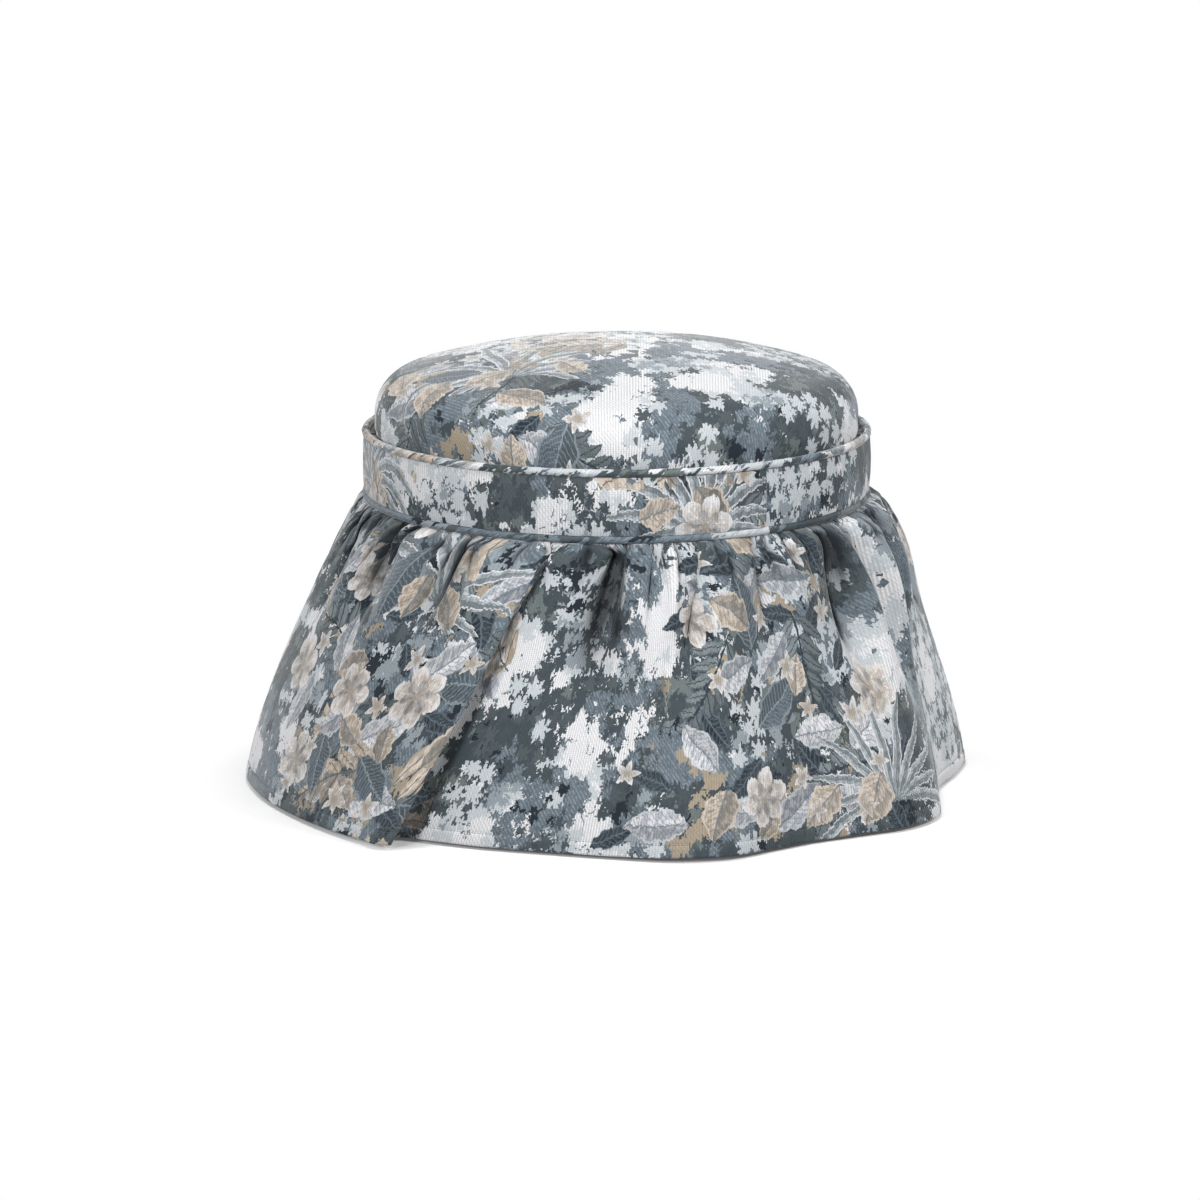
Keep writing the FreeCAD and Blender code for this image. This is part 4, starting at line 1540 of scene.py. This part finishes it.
@dataclass
class Skirt:
    """The gathered skirt in four panels, with its hem and the hem's stitches."""

    band: Band
    seam_radius: float = 0.2408
    seam_drop: float = 0.0030
    hem_radius: float = 0.343
    hem_z: float = 0.003
    flare_curve: float = 1.42
    puff: float = 0.0165
    fold_growth: float = 0.85
    spacing: float = 0.00165
    rows: tuple[int, int, int] = (48, 42, 11)
    cloth: float = 0.0012
    drop: float = 0.300
    hem_height: float = 0.013
    wall_radius: float = 0.2315
    stitch_pitch: float = 0.0036
    stitch_length: float = 0.0028
    stitch_thickness: float = 0.0006
    stitch_proud: float = 0.0001
    gathers: int = 84
    gather_reach: tuple[float, float] = (0.06, 0.19)
    gather_deep: tuple[float, float] = (9.0, 22.0)
    long_reach: tuple[float, float] = (0.12, 0.28)
    long_deep: tuple[float, float] = (5.0, 12.0)
    squeeze: float = 0.12
    # Depth of a fold's crease at which it is painted fully in shade
    valley_shade_depth: float = 0.027
    drawn_in: float = 0.7
    drawn_at: float = math.radians(-90)
    drawn_spread: float = math.radians(26)
    puckers: int = 104
    pucker_deep: float = 0.0085
    pucker_slant: float = 0.028
    pucker_reach: float = 0.085
    # Gain and curve of the painted shade in the creases
    crease_shade_gain: float = 1.3
    crease_shade_curve: float = 1.8
    seed: int = 5

    HEM = (
        HemPoint(-96, 357), HemPoint(-74, 355.5), HemPoint(-60, 355.5), HemPoint(-48, 363),
        HemPoint(-40, 371.5), HemPoint(-35.4, 378), HemPoint(-34.2, 373), HemPoint(-36.2, 357),
        HemPoint(-37.6, 343),
        HemPoint(-36, 335.5), HemPoint(-31.5, 332.5), HemPoint(-24, 331.5), HemPoint(-10, 334),
        HemPoint(0, 346), HemPoint(9, 362), HemPoint(16, 364), HemPoint(25, 346), HemPoint(32, 338),
        HemPoint(41, 343), HemPoint(51, 358), HemPoint(58.5, 355), HemPoint(66, 335), HemPoint(77, 317),
        HemPoint(90, 331), HemPoint(100, 346), HemPoint(109, 338), HemPoint(119, 326), HemPoint(130, 344),
        HemPoint(139, 356), HemPoint(149, 343), HemPoint(160, 330), HemPoint(171, 345), HemPoint(181, 357),
        HemPoint(192, 343), HemPoint(203, 329), HemPoint(214, 344), HemPoint(223, 355), HemPoint(234, 344),
        HemPoint(244, 334), HemPoint(254, 347),
    )
    # Where the cloth of a hem point meets the seam, in degrees from the front; 5 to 9 is a pleat
    SEAM = {
        0: -91.0, 5: -15.6, 6: -15.4, 8: -18.4, 10: -15.8, 14: 14.0, 19: 50.0, 24: 101.0, 28: 145.0,
        32: 188.0, 36: 230.0,
    }
    # The hem points at which one panel is sewn to the next, and how far along the cloth it was cut
    SEWN = {
        "front": (8, 21, 0.0), "right": (21, 29, 0.0), "back": (29, 37, 0.0), "left": (37, 48, -2.31),
    }
    UPPER = (
        UpperFold(-15, 5, 14, 0.18, 0.18, -10), UpperFold(-3, -24, 16, 0.22, 0.22, 3),
        UpperFold(6, 10, 18, 0.2, 0.2, 4), UpperFold(13, 10, 15, 0.16, 0.14, -14),
        UpperFold(18.5, -22, 11, 0.17, 0.17, -24, 11), UpperFold(24.5, 10, 14, 0.14, 0.13, -8),
        UpperFold(30.5, -19, 10, 0.12, 0.12, -8, 8), UpperFold(38, 10, 17, 0.16, 0.16, -2),
        UpperFold(47, -28, 14, 0.22, 0.22, 2, 13), UpperFold(54, 16, 12, 0.26, 0.3, 2),
        UpperFold(59.5, -21, 9, 0.2, 0.24, 2, 7), UpperFold(65, 16, 11, 0.24, 0.28, 2),
        UpperFold(72, -24, 10, 0.22, 0.26, 2, 8), UpperFold(82, 11, 16, 0.18, 0.18, 0),
        UpperFold(92, -15, 13, 0.2, 0.18, 0, 5), UpperFold(103, 11, 18, 0.2, 0.2, 0),
        UpperFold(115, -14, 13, 0.18, 0.16, 6, 7), UpperFold(126, 11, 18, 0.2, 0.2, 0),
        UpperFold(138, -14, 14, 0.2, 0.18, 8), UpperFold(149, 11, 18, 0.2, 0.18, 4),
        UpperFold(160, -15, 13, 0.2, 0.18, 0, 6), UpperFold(171, 11, 18, 0.2, 0.2, -8),
        UpperFold(185, -14, 12, 0.16, 0.15, 0, 7), UpperFold(196, 11, 18, 0.2, 0.2, 0),
        UpperFold(206, -15, 13, 0.22, 0.18, 0, 5), UpperFold(219, 11, 18, 0.2, 0.18, 8),
        UpperFold(231, -14, 13, 0.18, 0.18, 0, 6), UpperFold(241, 11, 17, 0.2, 0.18, 0),
        UpperFold(251, -14, 13, 0.2, 0.18, 0, 7), UpperFold(261, 11, 17, 0.2, 0.18, 0),
        UpperFold(271, -14, 13, 0.18, 0.17, -4), UpperFold(281, 11, 16, 0.2, 0.18, -6),
        UpperFold(291, -18, 11, 0.18, 0.18, -6, 5), UpperFold(300, 11, 17, 0.2, 0.2, -8),
        UpperFold(310, -20, 11, 0.18, 0.18, -8, 8), UpperFold(318, 11, 17, 0.2, 0.18, -12),
        UpperFold(329, -18, 11, 0.15, 0.15, -10, 6), UpperFold(338, 8, 18, 0.2, 0.2, -14),
    )

    def __post_init__(self) -> None:
        """Lay out the hem's line and the cloth's width along it."""
        self.angle = np.radians([p.degrees for p in self.HEM])
        self.radius = np.array([p.radius for p in self.HEM]) * MM
        flat = np.stack([self.radius * np.sin(self.angle), -self.radius * np.cos(self.angle)], axis=-1)
        steps = np.linalg.norm(np.roll(flat, -1, axis=0) - flat, axis=1) * 1.012
        self.knots = np.concatenate([[0.0], np.cumsum(steps)[:-1]])
        self.width = float(steps.sum())
        self.anchor = np.array([self.knots[i] for i in self.SEAM])
        self.anchor_angle = np.radians(list(self.SEAM.values()))

    def seam_angle(self, s: np.ndarray) -> np.ndarray:
        """Give where the cloth meets the seam, evenly gathered between the main crests.

        Args:
            s: Places along the cloth.

        Returns:
            Their angles from the front.
        """
        knots = np.concatenate([self.anchor, [self.anchor[0] + self.width]])
        angles = np.concatenate([self.anchor_angle, [self.anchor_angle[0] + TURN]])
        lap = np.floor((s - knots[0]) / self.width)
        return np.interp(s - lap * self.width, knots, angles) + lap * TURN

    def gathered(self, s: np.ndarray, t: np.ndarray) -> Gathers:
        """Give how far the cloth puffs out under the seam, less its creases.

        Args:
            s: Places along the cloth, one for each column.
            t: Shares of the drop, one for each row.

        Returns:
            The gathers, in rows by columns.
        """
        draw = np.random.default_rng(self.seed)
        rise = 1 - np.exp(-t / 0.021)
        out = np.zeros((len(t), len(s))) + (self.puff * rise * np.exp(-((t / 0.34) ** 2)))[:, None]
        totals = Gathers(out, np.zeros_like(out), np.zeros_like(out))
        pitch = self.width / self.gathers
        creases = (np.arange(self.gathers) + draw.uniform(-0.36, 0.36, self.gathers)) * pitch
        reach = draw.uniform(*self.gather_reach, self.gathers)
        deep = draw.uniform(*self.gather_deep, self.gathers) * MM
        self.add_puffs(totals, s, t, creases, reach, deep, draw)
        picked = np.sort(draw.choice(self.gathers, self.gathers // 3, replace=False))
        reach = draw.uniform(*self.long_reach, len(picked))
        deep = draw.uniform(*self.long_deep, len(picked)) * MM
        self.add_puffs(totals, s, t, creases[picked], reach, deep, draw)
        lookup = np.linspace(0, self.width, 4000)
        turned_to = np.maximum.accumulate(self.seam_angle(lookup))
        for fold in self.UPPER:
            target = math.radians(fold.degrees)
            target += TURN * math.ceil((turned_to[0] - target) / TURN)
            middle = float(np.interp(target, turned_to, lookup))
            share = np.exp(-(((t - fold.middle) / fold.spread) ** 2)) * np.clip(t / 0.04, 0, 1) * MM
            size = (fold.lean * MM * 4, fold.width * MM)
            self.add_fold(totals, s, t, middle, *size, share * fold.out, share * fold.over)
        turned = (self.seam_angle(s) - self.drawn_at + math.pi) % TURN - math.pi
        keep = 1 - self.drawn_in * np.exp(-((turned / self.drawn_spread) ** 2))
        totals.out = np.where(totals.out > 0, totals.out * keep[None], totals.out)
        self.add_puckers(totals, s, t, draw)
        return totals

    def add_puckers(
        self, totals: Gathers, s: np.ndarray, t: np.ndarray, draw: np.random.Generator
    ) -> None:
        """Add short slanting puckers that cross one another right under the seam.

        Args:
            totals: The gathers so far, which they are added to.
            s: Places along the cloth, one for each column.
            t: Shares of the drop, one for each row.
            draw: Source of the puckers' uneven strength.
        """
        down = t[:, None] * self.drop
        fade = np.exp(-((t / self.pucker_reach) ** 2)) * np.clip(t / 0.012, 0, 1)
        for slant in (-self.pucker_slant, self.pucker_slant):
            wander = ripple(s * (TURN / self.width), 12, 8, 60, int(draw.integers(1, 999))) * 0.9
            phase = s[None] * (self.puckers / self.width) + down / slant + wander[None]
            first = np.floor(phase).astype(int)
            share = phase - first
            strength = draw.uniform(0.0, 1.0, self.puckers) ** 1.3
            cut = strength[first % self.puckers] * (1 - share) ** 3.5
            cut += strength[(first + 1) % self.puckers] * share**3.5
            totals.out += (0.22 - cut) * fade[:, None] * self.pucker_deep
            # Painted shade along each pucker's crease
            totals.dark += cut**2 * fade[:, None] * 0.65

    def add_puffs(
        self,
        totals: Gathers,
        s: np.ndarray,
        t: np.ndarray,
        creases: np.ndarray,
        reach: np.ndarray,
        deep: np.ndarray,
        draw: np.random.Generator,
    ) -> None:
        """Add a row of rounded puffs with a sharp crease between each and the next.

        Args:
            totals: The gathers so far, which they are added to.
            s: Places along the cloth, one for each column.
            t: Shares of the drop, one for each row.
            creases: Where the creases are, in rising order.
            reach: The share of the drop at which each crease fades.
            deep: How deep each crease is.
            draw: Source of the puffs' uneven tilt.
        """
        count = len(creases)
        ends = np.concatenate([creases[-1:] - self.width, creases, creases[:1] + self.width])
        place = (s - creases[0]) % self.width + creases[0]
        left = np.clip(np.searchsorted(ends, place, side="right") - 1, 1, count)
        share = (place - ends[left]) / (ends[left + 1] - ends[left])
        first = (left - 1) % count
        second = left % count
        pinch = 0.25 + 0.75 * np.clip(t / 0.03, 0, 1)
        faded = deep[None] * np.exp(-((t[:, None] / reach[None]) ** 1.6)) * pinch[:, None]
        cut = faded[:, first] * (1 - share[None]) ** 2.6 + faded[:, second] * share[None] ** 2.6
        totals.out += 0.33 * faded.mean(axis=1)[:, None] - cut
        tilt = draw.uniform(-0.4, 0.4, count)[first] * np.sin(np.pi * share)
        even = (faded[:, first] + faded[:, second]) / 2
        totals.along += tilt[None] * even
        closed = np.sin(TURN * share) * (ends[left + 1] - ends[left])
        totals.along -= self.squeeze * closed[None] * even / deep.max()
        # Painted shade in the sharp crease between puffs
        painted_shade = faded[:, first] * (1 - share[None]) ** 5 + faded[:, second] * share[None] ** 5
        totals.dark += 1.3 * painted_shade / deep.max()

    def add_fold(
        self,
        totals: Gathers,
        s: np.ndarray,
        t: np.ndarray,
        middle: float,
        lean: float,
        wide: float,
        out: np.ndarray,
        over: np.ndarray,
    ) -> None:
        """Add a fold that widens down the cloth: round where it stands out, sharp where it is a crease.

        Args:
            totals: The gathers so far, which it is added to.
            s: Places along the cloth, one for each column.
            t: Shares of the drop, one for each row.
            middle: Where the fold is at the seam.
            lean: How far it leans along the cloth over the whole drop.
            wide: Half of its width at the seam.
            out: How far it stands out in each row, less than 0 for a crease.
            over: How far the cloth on its right hangs over it in each row.
        """
        gone = (s - middle + self.width / 2) % self.width - self.width / 2
        near = np.abs(gone) < wide * 9 + abs(lean)
        if not near.any():
            return
        away = gone[None, near] - lean * t[:, None]
        if out.min() < 0:
            soft = np.sqrt(away**2 + (0.001 + 0.008 * t[:, None]) ** 2)
            shape = np.exp(-((soft / (wide * (1 + 1.6 * t[:, None]))) ** 1.15))
        else:
            shape = np.exp(-((away / (wide * (1 + 0.9 * t[:, None]))) ** 2))
        totals.out[:, near] += shape * out[:, None]
        if out.min() < 0:
            # Painted shade in a crease's valley, by its depth
            totals.dark[:, near] -= shape * out[:, None] / self.valley_shade_depth
        right = np.exp(-(((away - wide * 1.1) / (wide * 0.9)) ** 2))
        left = np.exp(-(((away + wide * 1.1) / (wide * 0.9)) ** 2))
        totals.along[:, near] += (left * 0.35 - right) * over[:, None]

    def place(self, s: np.ndarray, t: np.ndarray) -> tuple[np.ndarray, np.ndarray]:
        """Give the places of the skirt's outer face.

        Args:
            s: Places along the cloth, one for each column.
            t: Shares of the drop, one for each row.

        Returns:
            Rows by columns by 3 places, and the painted shade of each one, darkest deep in a crease.
        """
        hem_angle = spline(self.knots, self.angle, self.width, TURN, s)
        hem_radius = spline(self.knots, self.radius, self.width, 0.0, s)
        lean = self.seam_angle(s) - hem_angle
        up = (1 - t)[:, None]
        angle = hem_angle[None] + lean[None] * up
        grown = (t**self.fold_growth)[:, None]
        flare = (self.hem_radius - self.seam_radius) * (1 - (1 - t) ** self.flare_curve)
        radius = self.seam_radius + flare[:, None] + (hem_radius - self.hem_radius)[None] * grown
        gathers = self.gathered(s, t)
        radius = np.maximum(radius + gathers.out, self.wall_radius)
        angle = angle + gathers.along / radius
        line = 1 - self.hem_height / self.drop
        turned_up = np.clip((t - line) / 0.006, 0, 1) * 0.0006
        sewn_in = np.exp(-(((t - line) / 0.004) ** 2)) * 0.0007
        radius = radius + (turned_up - sewn_in)[:, None]
        seam_z = self.band.lower_z - self.seam_drop - self.band.droop(angle)
        lift = np.clip((hem_radius - self.hem_radius), 0, 1)[None] * 0.06
        height = seam_z + (self.hem_z + lift - seam_z) * t[:, None]
        points = np.stack([radius * np.sin(angle), -radius * np.cos(angle), height], axis=-1)
        return points, np.clip(gathers.dark * self.crease_shade_gain, 0, 1) ** self.crease_shade_curve

    def build(self, finishes: Finishes) -> None:
        """Make the four panels and the stitches of the hem.

        Args:
            finishes: The finishes.
        """
        line = 1 - self.hem_height / self.drop
        parts = [np.linspace(0, 0.25, self.rows[0]), np.linspace(0.25, line - 0.02, self.rows[1])]
        t = np.unique(np.concatenate([*parts, np.linspace(line - 0.02, 1, self.rows[2])]))
        knots = np.concatenate([self.knots, self.knots[:10] + self.width])
        for name, (first, last, cut) in self.SEWN.items():
            columns = int(round((knots[last] - knots[first]) / self.spacing))
            s = np.linspace(knots[first], knots[last], columns + 1)
            # dark: the painted shade of each point, kept as the crease attribute
            points, dark = self.place(s, t)
            edge = np.minimum(s - s[0], s[-1] - s)
            sewn = np.exp(-((edge / 0.0022) ** 2)) * 0.0008
            away = points[..., :2] / np.linalg.norm(points[..., :2], axis=-1, keepdims=True)
            points[..., :2] -= away * sewn[None, :, None]
            cloth = np.empty((*points.shape[:2], 2))
            cloth[..., 0] = s[None] + cut
            cloth[..., 1] = ((1 - t) * self.drop)[:, None]
            piece = Piece.grid(f"skirt_{name}", points, cloth, False)
            # Store the painted shade on the mesh for the cloth's material to darken its creases
            crease = piece.data.attributes.new(CREASE_SHADE, "FLOAT", "POINT")
            crease.data.foreach_set("value", dark.astype(np.float32).ravel())
            Piece.thicken(piece, self.cloth)
            Piece.dress(piece, finishes.cover, Body.BASE, Slot.COVER, [f"skirt_panel_{name}"])
        self.build_stitches(finishes)

    def build_stitches(self, finishes: Finishes) -> None:
        """Sew the hem's turned-up edge.

        Args:
            finishes: The finishes.
        """
        s = np.linspace(0, self.width, int(self.width / self.spacing))
        line = self.place(s, np.array([1 - self.hem_height / self.drop]))[0][0]
        away = line[:, :2] / np.linalg.norm(line[:, :2], axis=1, keepdims=True)
        line[:, :2] += away * self.stitch_proud
        sizes = (self.stitch_pitch, self.stitch_length, self.stitch_thickness)
        piece = Row("hem_stitches", Bead.STITCH, *sizes).build([line], finishes.thread)
        Piece.dress(piece, finishes.thread, Body.BASE, Slot.COVER)


@dataclass
class Linings:
    """The cloth inside and under the drum."""

    well_radius: float = 0.1903
    well_bottom: float = 0.0298
    well_top: float = 0.3377
    rim_inside: float = 0.1901
    rim_outside: float = 0.22545
    rim_z: float = 0.3380
    floor_z: float = 0.0310
    dust_z: float = 0.0140
    dust_radius: float = 0.228
    wall_radius: float = 0.2293
    wall_bottom: float = 0.0148
    wall_top: float = 0.2824
    staple_radius: float = 0.2195
    staple_pitch: float = 0.036
    staple_length: float = 0.010
    staple_size: float = 0.0007
    wall_rows: int = 44
    disc_rows: int = 48
    rim_rows: int = 10
    under_rows: int = 30
    fine_columns: int = 300
    columns: int = 240

    def build(self, finishes: Finishes) -> None:
        """Make every lining.

        Args:
            finishes: The finishes.
        """
        self.build_wall(finishes)
        self.build_disc("well_floor_cloth", self.well_radius - 0.0003, self.floor_z, True, finishes)
        self.build_disc("dust_cover_cloth", self.dust_radius, self.dust_z, False, finishes)
        self.build_rim(finishes)
        self.build_under(finishes)
        self.build_staples(finishes)

    def build_staples(self, finishes: Finishes) -> None:
        """Staple the dust cover to the base.

        Args:
            finishes: The finishes.
        """
        angle = np.linspace(0, TURN, 400)
        flat = [self.staple_radius * np.cos(angle), self.staple_radius * np.sin(angle)]
        line = np.stack([*flat, np.full_like(angle, self.dust_z - self.staple_size / 2)], axis=-1)
        sizes = (self.staple_pitch, self.staple_length, self.staple_size)
        piece = Row("dust_cover_staples", Bead.WIRE, *sizes).build([line], finishes.steel)
        Piece.dress(piece, finishes.steel, Body.BASE, Slot.STEEL)

    def tube(self, name: str, radius: np.ndarray, height: np.ndarray, columns: int) -> bpy.types.Object:
        """Make a round cloth from its section, with its UV along and around.

        Args:
            name: The piece's name.
            radius: The section's radii.
            height: The section's heights.
            columns: Steps round the axis.

        Returns:
            The piece.
        """
        points, _ = turned(radius, height, columns)
        length = run(radius, height)
        wide = bearings(columns)
        cloth = np.empty((len(radius), columns + 1, 2))
        cloth[..., 0] = wide[None] * radius.max()
        cloth[..., 1] = -length[:, None]
        return Piece.grid(name, points, cloth, True)

    def build_wall(self, finishes: Finishes) -> None:
        """Make the lining of the well's wall, facing inwards.

        Args:
            finishes: The finishes.
        """
        height = np.linspace(self.well_bottom, self.well_top, self.wall_rows)
        radius = np.full(self.wall_rows, self.well_radius)
        piece = self.tube("well_lining_cloth", radius, height, self.fine_columns)
        Piece.dress(piece, finishes.lining, Body.BASE, Slot.LINING, ["well_lining"])

    def build_disc(
        self, name: str, radius: float, height: float, upward: bool, finishes: Finishes
    ) -> None:
        """Make a round cloth that lies flat.

        Args:
            name: The piece's name.
            radius: Its radius.
            height: Its height.
            upward: Whether it faces up, else down.
            finishes: The finishes.
        """
        reach = np.linspace(0.0, radius, self.disc_rows)
        reach = reach if upward else reach[::-1]
        points, _ = turned(reach, np.full(self.disc_rows, height), self.columns)
        piece = Piece.grid(name, points, round_cloth(reach, self.columns, (0.0, 0.0)), True)
        Piece.weld(piece)
        finish = finishes.lining if upward else finishes.dust
        node = "well_floor_lining" if upward else "dust_cover"
        Piece.dress(piece, finish, Body.BASE, Slot.LINING if upward else Slot.UNDER, [node])

    def build_rim(self, finishes: Finishes) -> None:
        """Make the strip of lining on the rim.

        Args:
            finishes: The finishes.
        """
        radius = np.linspace(self.rim_inside, self.rim_outside, self.rim_rows)
        height = np.full(self.rim_rows, self.rim_z)
        piece = self.tube("rim_cover_cloth", radius, height, self.fine_columns)
        Piece.dress(piece, finishes.lining, Body.BASE, Slot.LINING, ["rim_cover"])

    def build_under(self, finishes: Finishes) -> None:
        """Make the dark cloth on the drum behind the skirt.

        Args:
            finishes: The finishes.
        """
        height = np.linspace(self.wall_top, self.wall_bottom, self.under_rows)
        radius = np.full(self.under_rows, self.wall_radius)
        piece = self.tube("drum_under_cloth", radius, height, self.columns)
        Piece.dress(piece, finishes.dust, Body.BASE, Slot.UNDER, ["drum_under_cover"])


@dataclass
class Carcase:
    """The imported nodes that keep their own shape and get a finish."""

    def dress(self, finishes: Finishes) -> None:
        """Give each node its finish.

        Args:
            finishes: The finishes.
        """
        by_slot = {
            "wood": finishes.wood,
            "padding": finishes.wadding,
            "foam": finishes.foam,
            "cord": finishes.cord,
            "glide_plastic": finishes.plastic,
            "screw_steel": finishes.steel,
            "cover_fabric": finishes.cover,
            "lining_fabric": finishes.lining,
            "under_fabric": finishes.dust,
        }
        for part in frame["record"]["subparts"]:
            node = frame["nodes"][part["node"]]
            for holder in node.material_slots:
                holder.material = by_slot[part["material_slot"]]


@dataclass(frozen=True)
class Lamp:
    """A soft square lamp: its name and place, the height that it points at, its side and its watts."""

    name: str
    place: tuple[float, float, float]
    aim_z: float
    size: float
    power: float


@dataclass
class Studio:
    """The pale floor, the lights and the camera."""

    camera: tuple[float, float, float] = (-0.0159, -5.8, 1.35)
    aim_z: float = 0.173
    lens: float = 183.7
    floor_size: float = 30.0
    floor_z: float = -0.0004
    shadow_from: float = 0.345
    shadow_to: float = 0.405
    fill_light: float = 0.07

    LAMPS = (
        Lamp("right_light", (2.3, -1.7, 1.9), 0.2, 0.5, 66.0),
        Lamp("left_light", (-1.5, -2.6, 1.2), 0.2, 0.6, 60.0),
        Lamp("top_light", (-0.1, -0.8, 2.8), 0.3, 0.6, 42.0),
        Lamp("back_right_light", (1.9, 2.3, 1.2), 0.2, 0.7, 44.0),
        Lamp("back_left_light", (-1.9, 2.3, 1.2), 0.2, 0.7, 44.0),
    )

    def build(self) -> None:
        """Set up the stage."""
        self.build_floor()
        self.build_world()
        for lamp in self.LAMPS:
            self.hang(lamp)
        self.build_camera()

    def build_camera(self) -> None:
        """Put the camera at the photograph's angle."""
        data = bpy.data.cameras.new("camera")
        data.lens = self.lens
        data.sensor_width = 36.0
        data.clip_end = 60.0
        camera = bpy.data.objects.new("camera", data)
        camera.location = self.camera
        drop = math.atan2(self.camera[2] - self.aim_z, -self.camera[1])
        camera.rotation_euler = (math.pi / 2 - drop, 0.0, 0.0)
        bpy.context.scene.collection.objects.link(camera)
        bpy.context.scene.camera = camera

    def build_floor(self) -> None:
        """Make the floor, which is white to the camera and still takes the shadow."""
        half = self.floor_size / 2
        corners = ((-half, -half), (half, -half), (half, half), (-half, half))
        points = np.array([(x, y, self.floor_z) for x, y in corners])
        floor = Piece.mesh("floor", points, np.array([[0, 1, 2, 3]]), None)
        shader = Shader("floor_white")
        path = shader.node("ShaderNodeLightPath")
        seen = Field(shader, path.outputs["Is Camera Ray"])
        for ray in ("Is Glossy Ray", "Is Transmission Ray"):
            seen = seen.most(Field(shader, path.outputs[ray]))
        x, y, _ = shader.object_place()
        far = shader.math("SQRT", x * x + y * y)
        tone = shader.mix(seen, (0.42, 0.42, 0.42, 1.0), (0.86, 0.86, 0.86, 1.0))
        matt = shader.node("ShaderNodeBsdfDiffuse", None, {"Color": tone})
        glow = shader.node("ShaderNodeEmission", None, {"Color": (1.0, 1.0, 1.0, 1.0), "Strength": 1.0})
        share = seen * (far.smooth(self.shadow_from, self.shadow_to) * 0.92 + 0.08)
        mixed = {0: share, 1: matt.outputs[0], 2: glow.outputs[0]}
        both = shader.node("ShaderNodeMixShader", None, mixed)
        shader.node("ShaderNodeOutputMaterial", None, {"Surface": both.outputs[0]})
        floor.data.materials.append(shader.material)

    def build_world(self) -> None:
        """Fill the studio with soft light and a white surround."""
        world = bpy.data.worlds.new("studio")
        world.use_nodes = True
        nodes = world.node_tree.nodes
        links = world.node_tree.links
        nodes.clear()
        path = nodes.new("ShaderNodeLightPath")
        seen = path.outputs["Is Camera Ray"]
        for kind in ("Is Glossy Ray", "Is Transmission Ray"):
            either = nodes.new("ShaderNodeMath")
            either.operation = "MAXIMUM"
            links.new(seen, either.inputs[0])
            links.new(path.outputs[kind], either.inputs[1])
            seen = either.outputs[0]
        soft = nodes.new("ShaderNodeBackground")
        soft.inputs["Strength"].default_value = self.fill_light
        white = nodes.new("ShaderNodeBackground")
        white.inputs["Color"].default_value = (1.0, 1.0, 1.0, 1.0)
        mixed = nodes.new("ShaderNodeMixShader")
        out = nodes.new("ShaderNodeOutputWorld")
        links.new(seen, mixed.inputs[0])
        links.new(soft.outputs[0], mixed.inputs[1])
        links.new(white.outputs[0], mixed.inputs[2])
        links.new(mixed.outputs[0], out.inputs["Surface"])
        bpy.context.scene.world = world

    def hang(self, lamp: Lamp) -> None:
        """Hang a lamp.

        Args:
            lamp: The lamp.
        """
        data = bpy.data.lights.new(lamp.name, "AREA")
        data.shape = "SQUARE"
        data.size = lamp.size
        data.energy = lamp.power
        hung = bpy.data.objects.new(lamp.name, data)
        hung.location = lamp.place
        x, y, z = lamp.place
        tilt = math.atan2(math.hypot(x, y), z - lamp.aim_z)
        hung.rotation_euler = (tilt, 0.0, math.atan2(-y, -x) - math.pi / 2)
        bpy.context.scene.collection.objects.link(hung)


def main() -> None:
    """Build the dressed ottoman in its studio."""
    logging.basicConfig(level=logging.INFO, format="%(message)s")
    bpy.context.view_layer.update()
    bpy.context.scene.view_settings.view_transform = "Standard"
    finishes = Finishes()
    Carcase().dress(finishes)
    Crown().build(finishes)
    band = Band()
    band.build(finishes)
    Skirt(band).build(finishes)
    Linings().build(finishes)
    Studio().build()


if __name__ == "__main__":
    main()
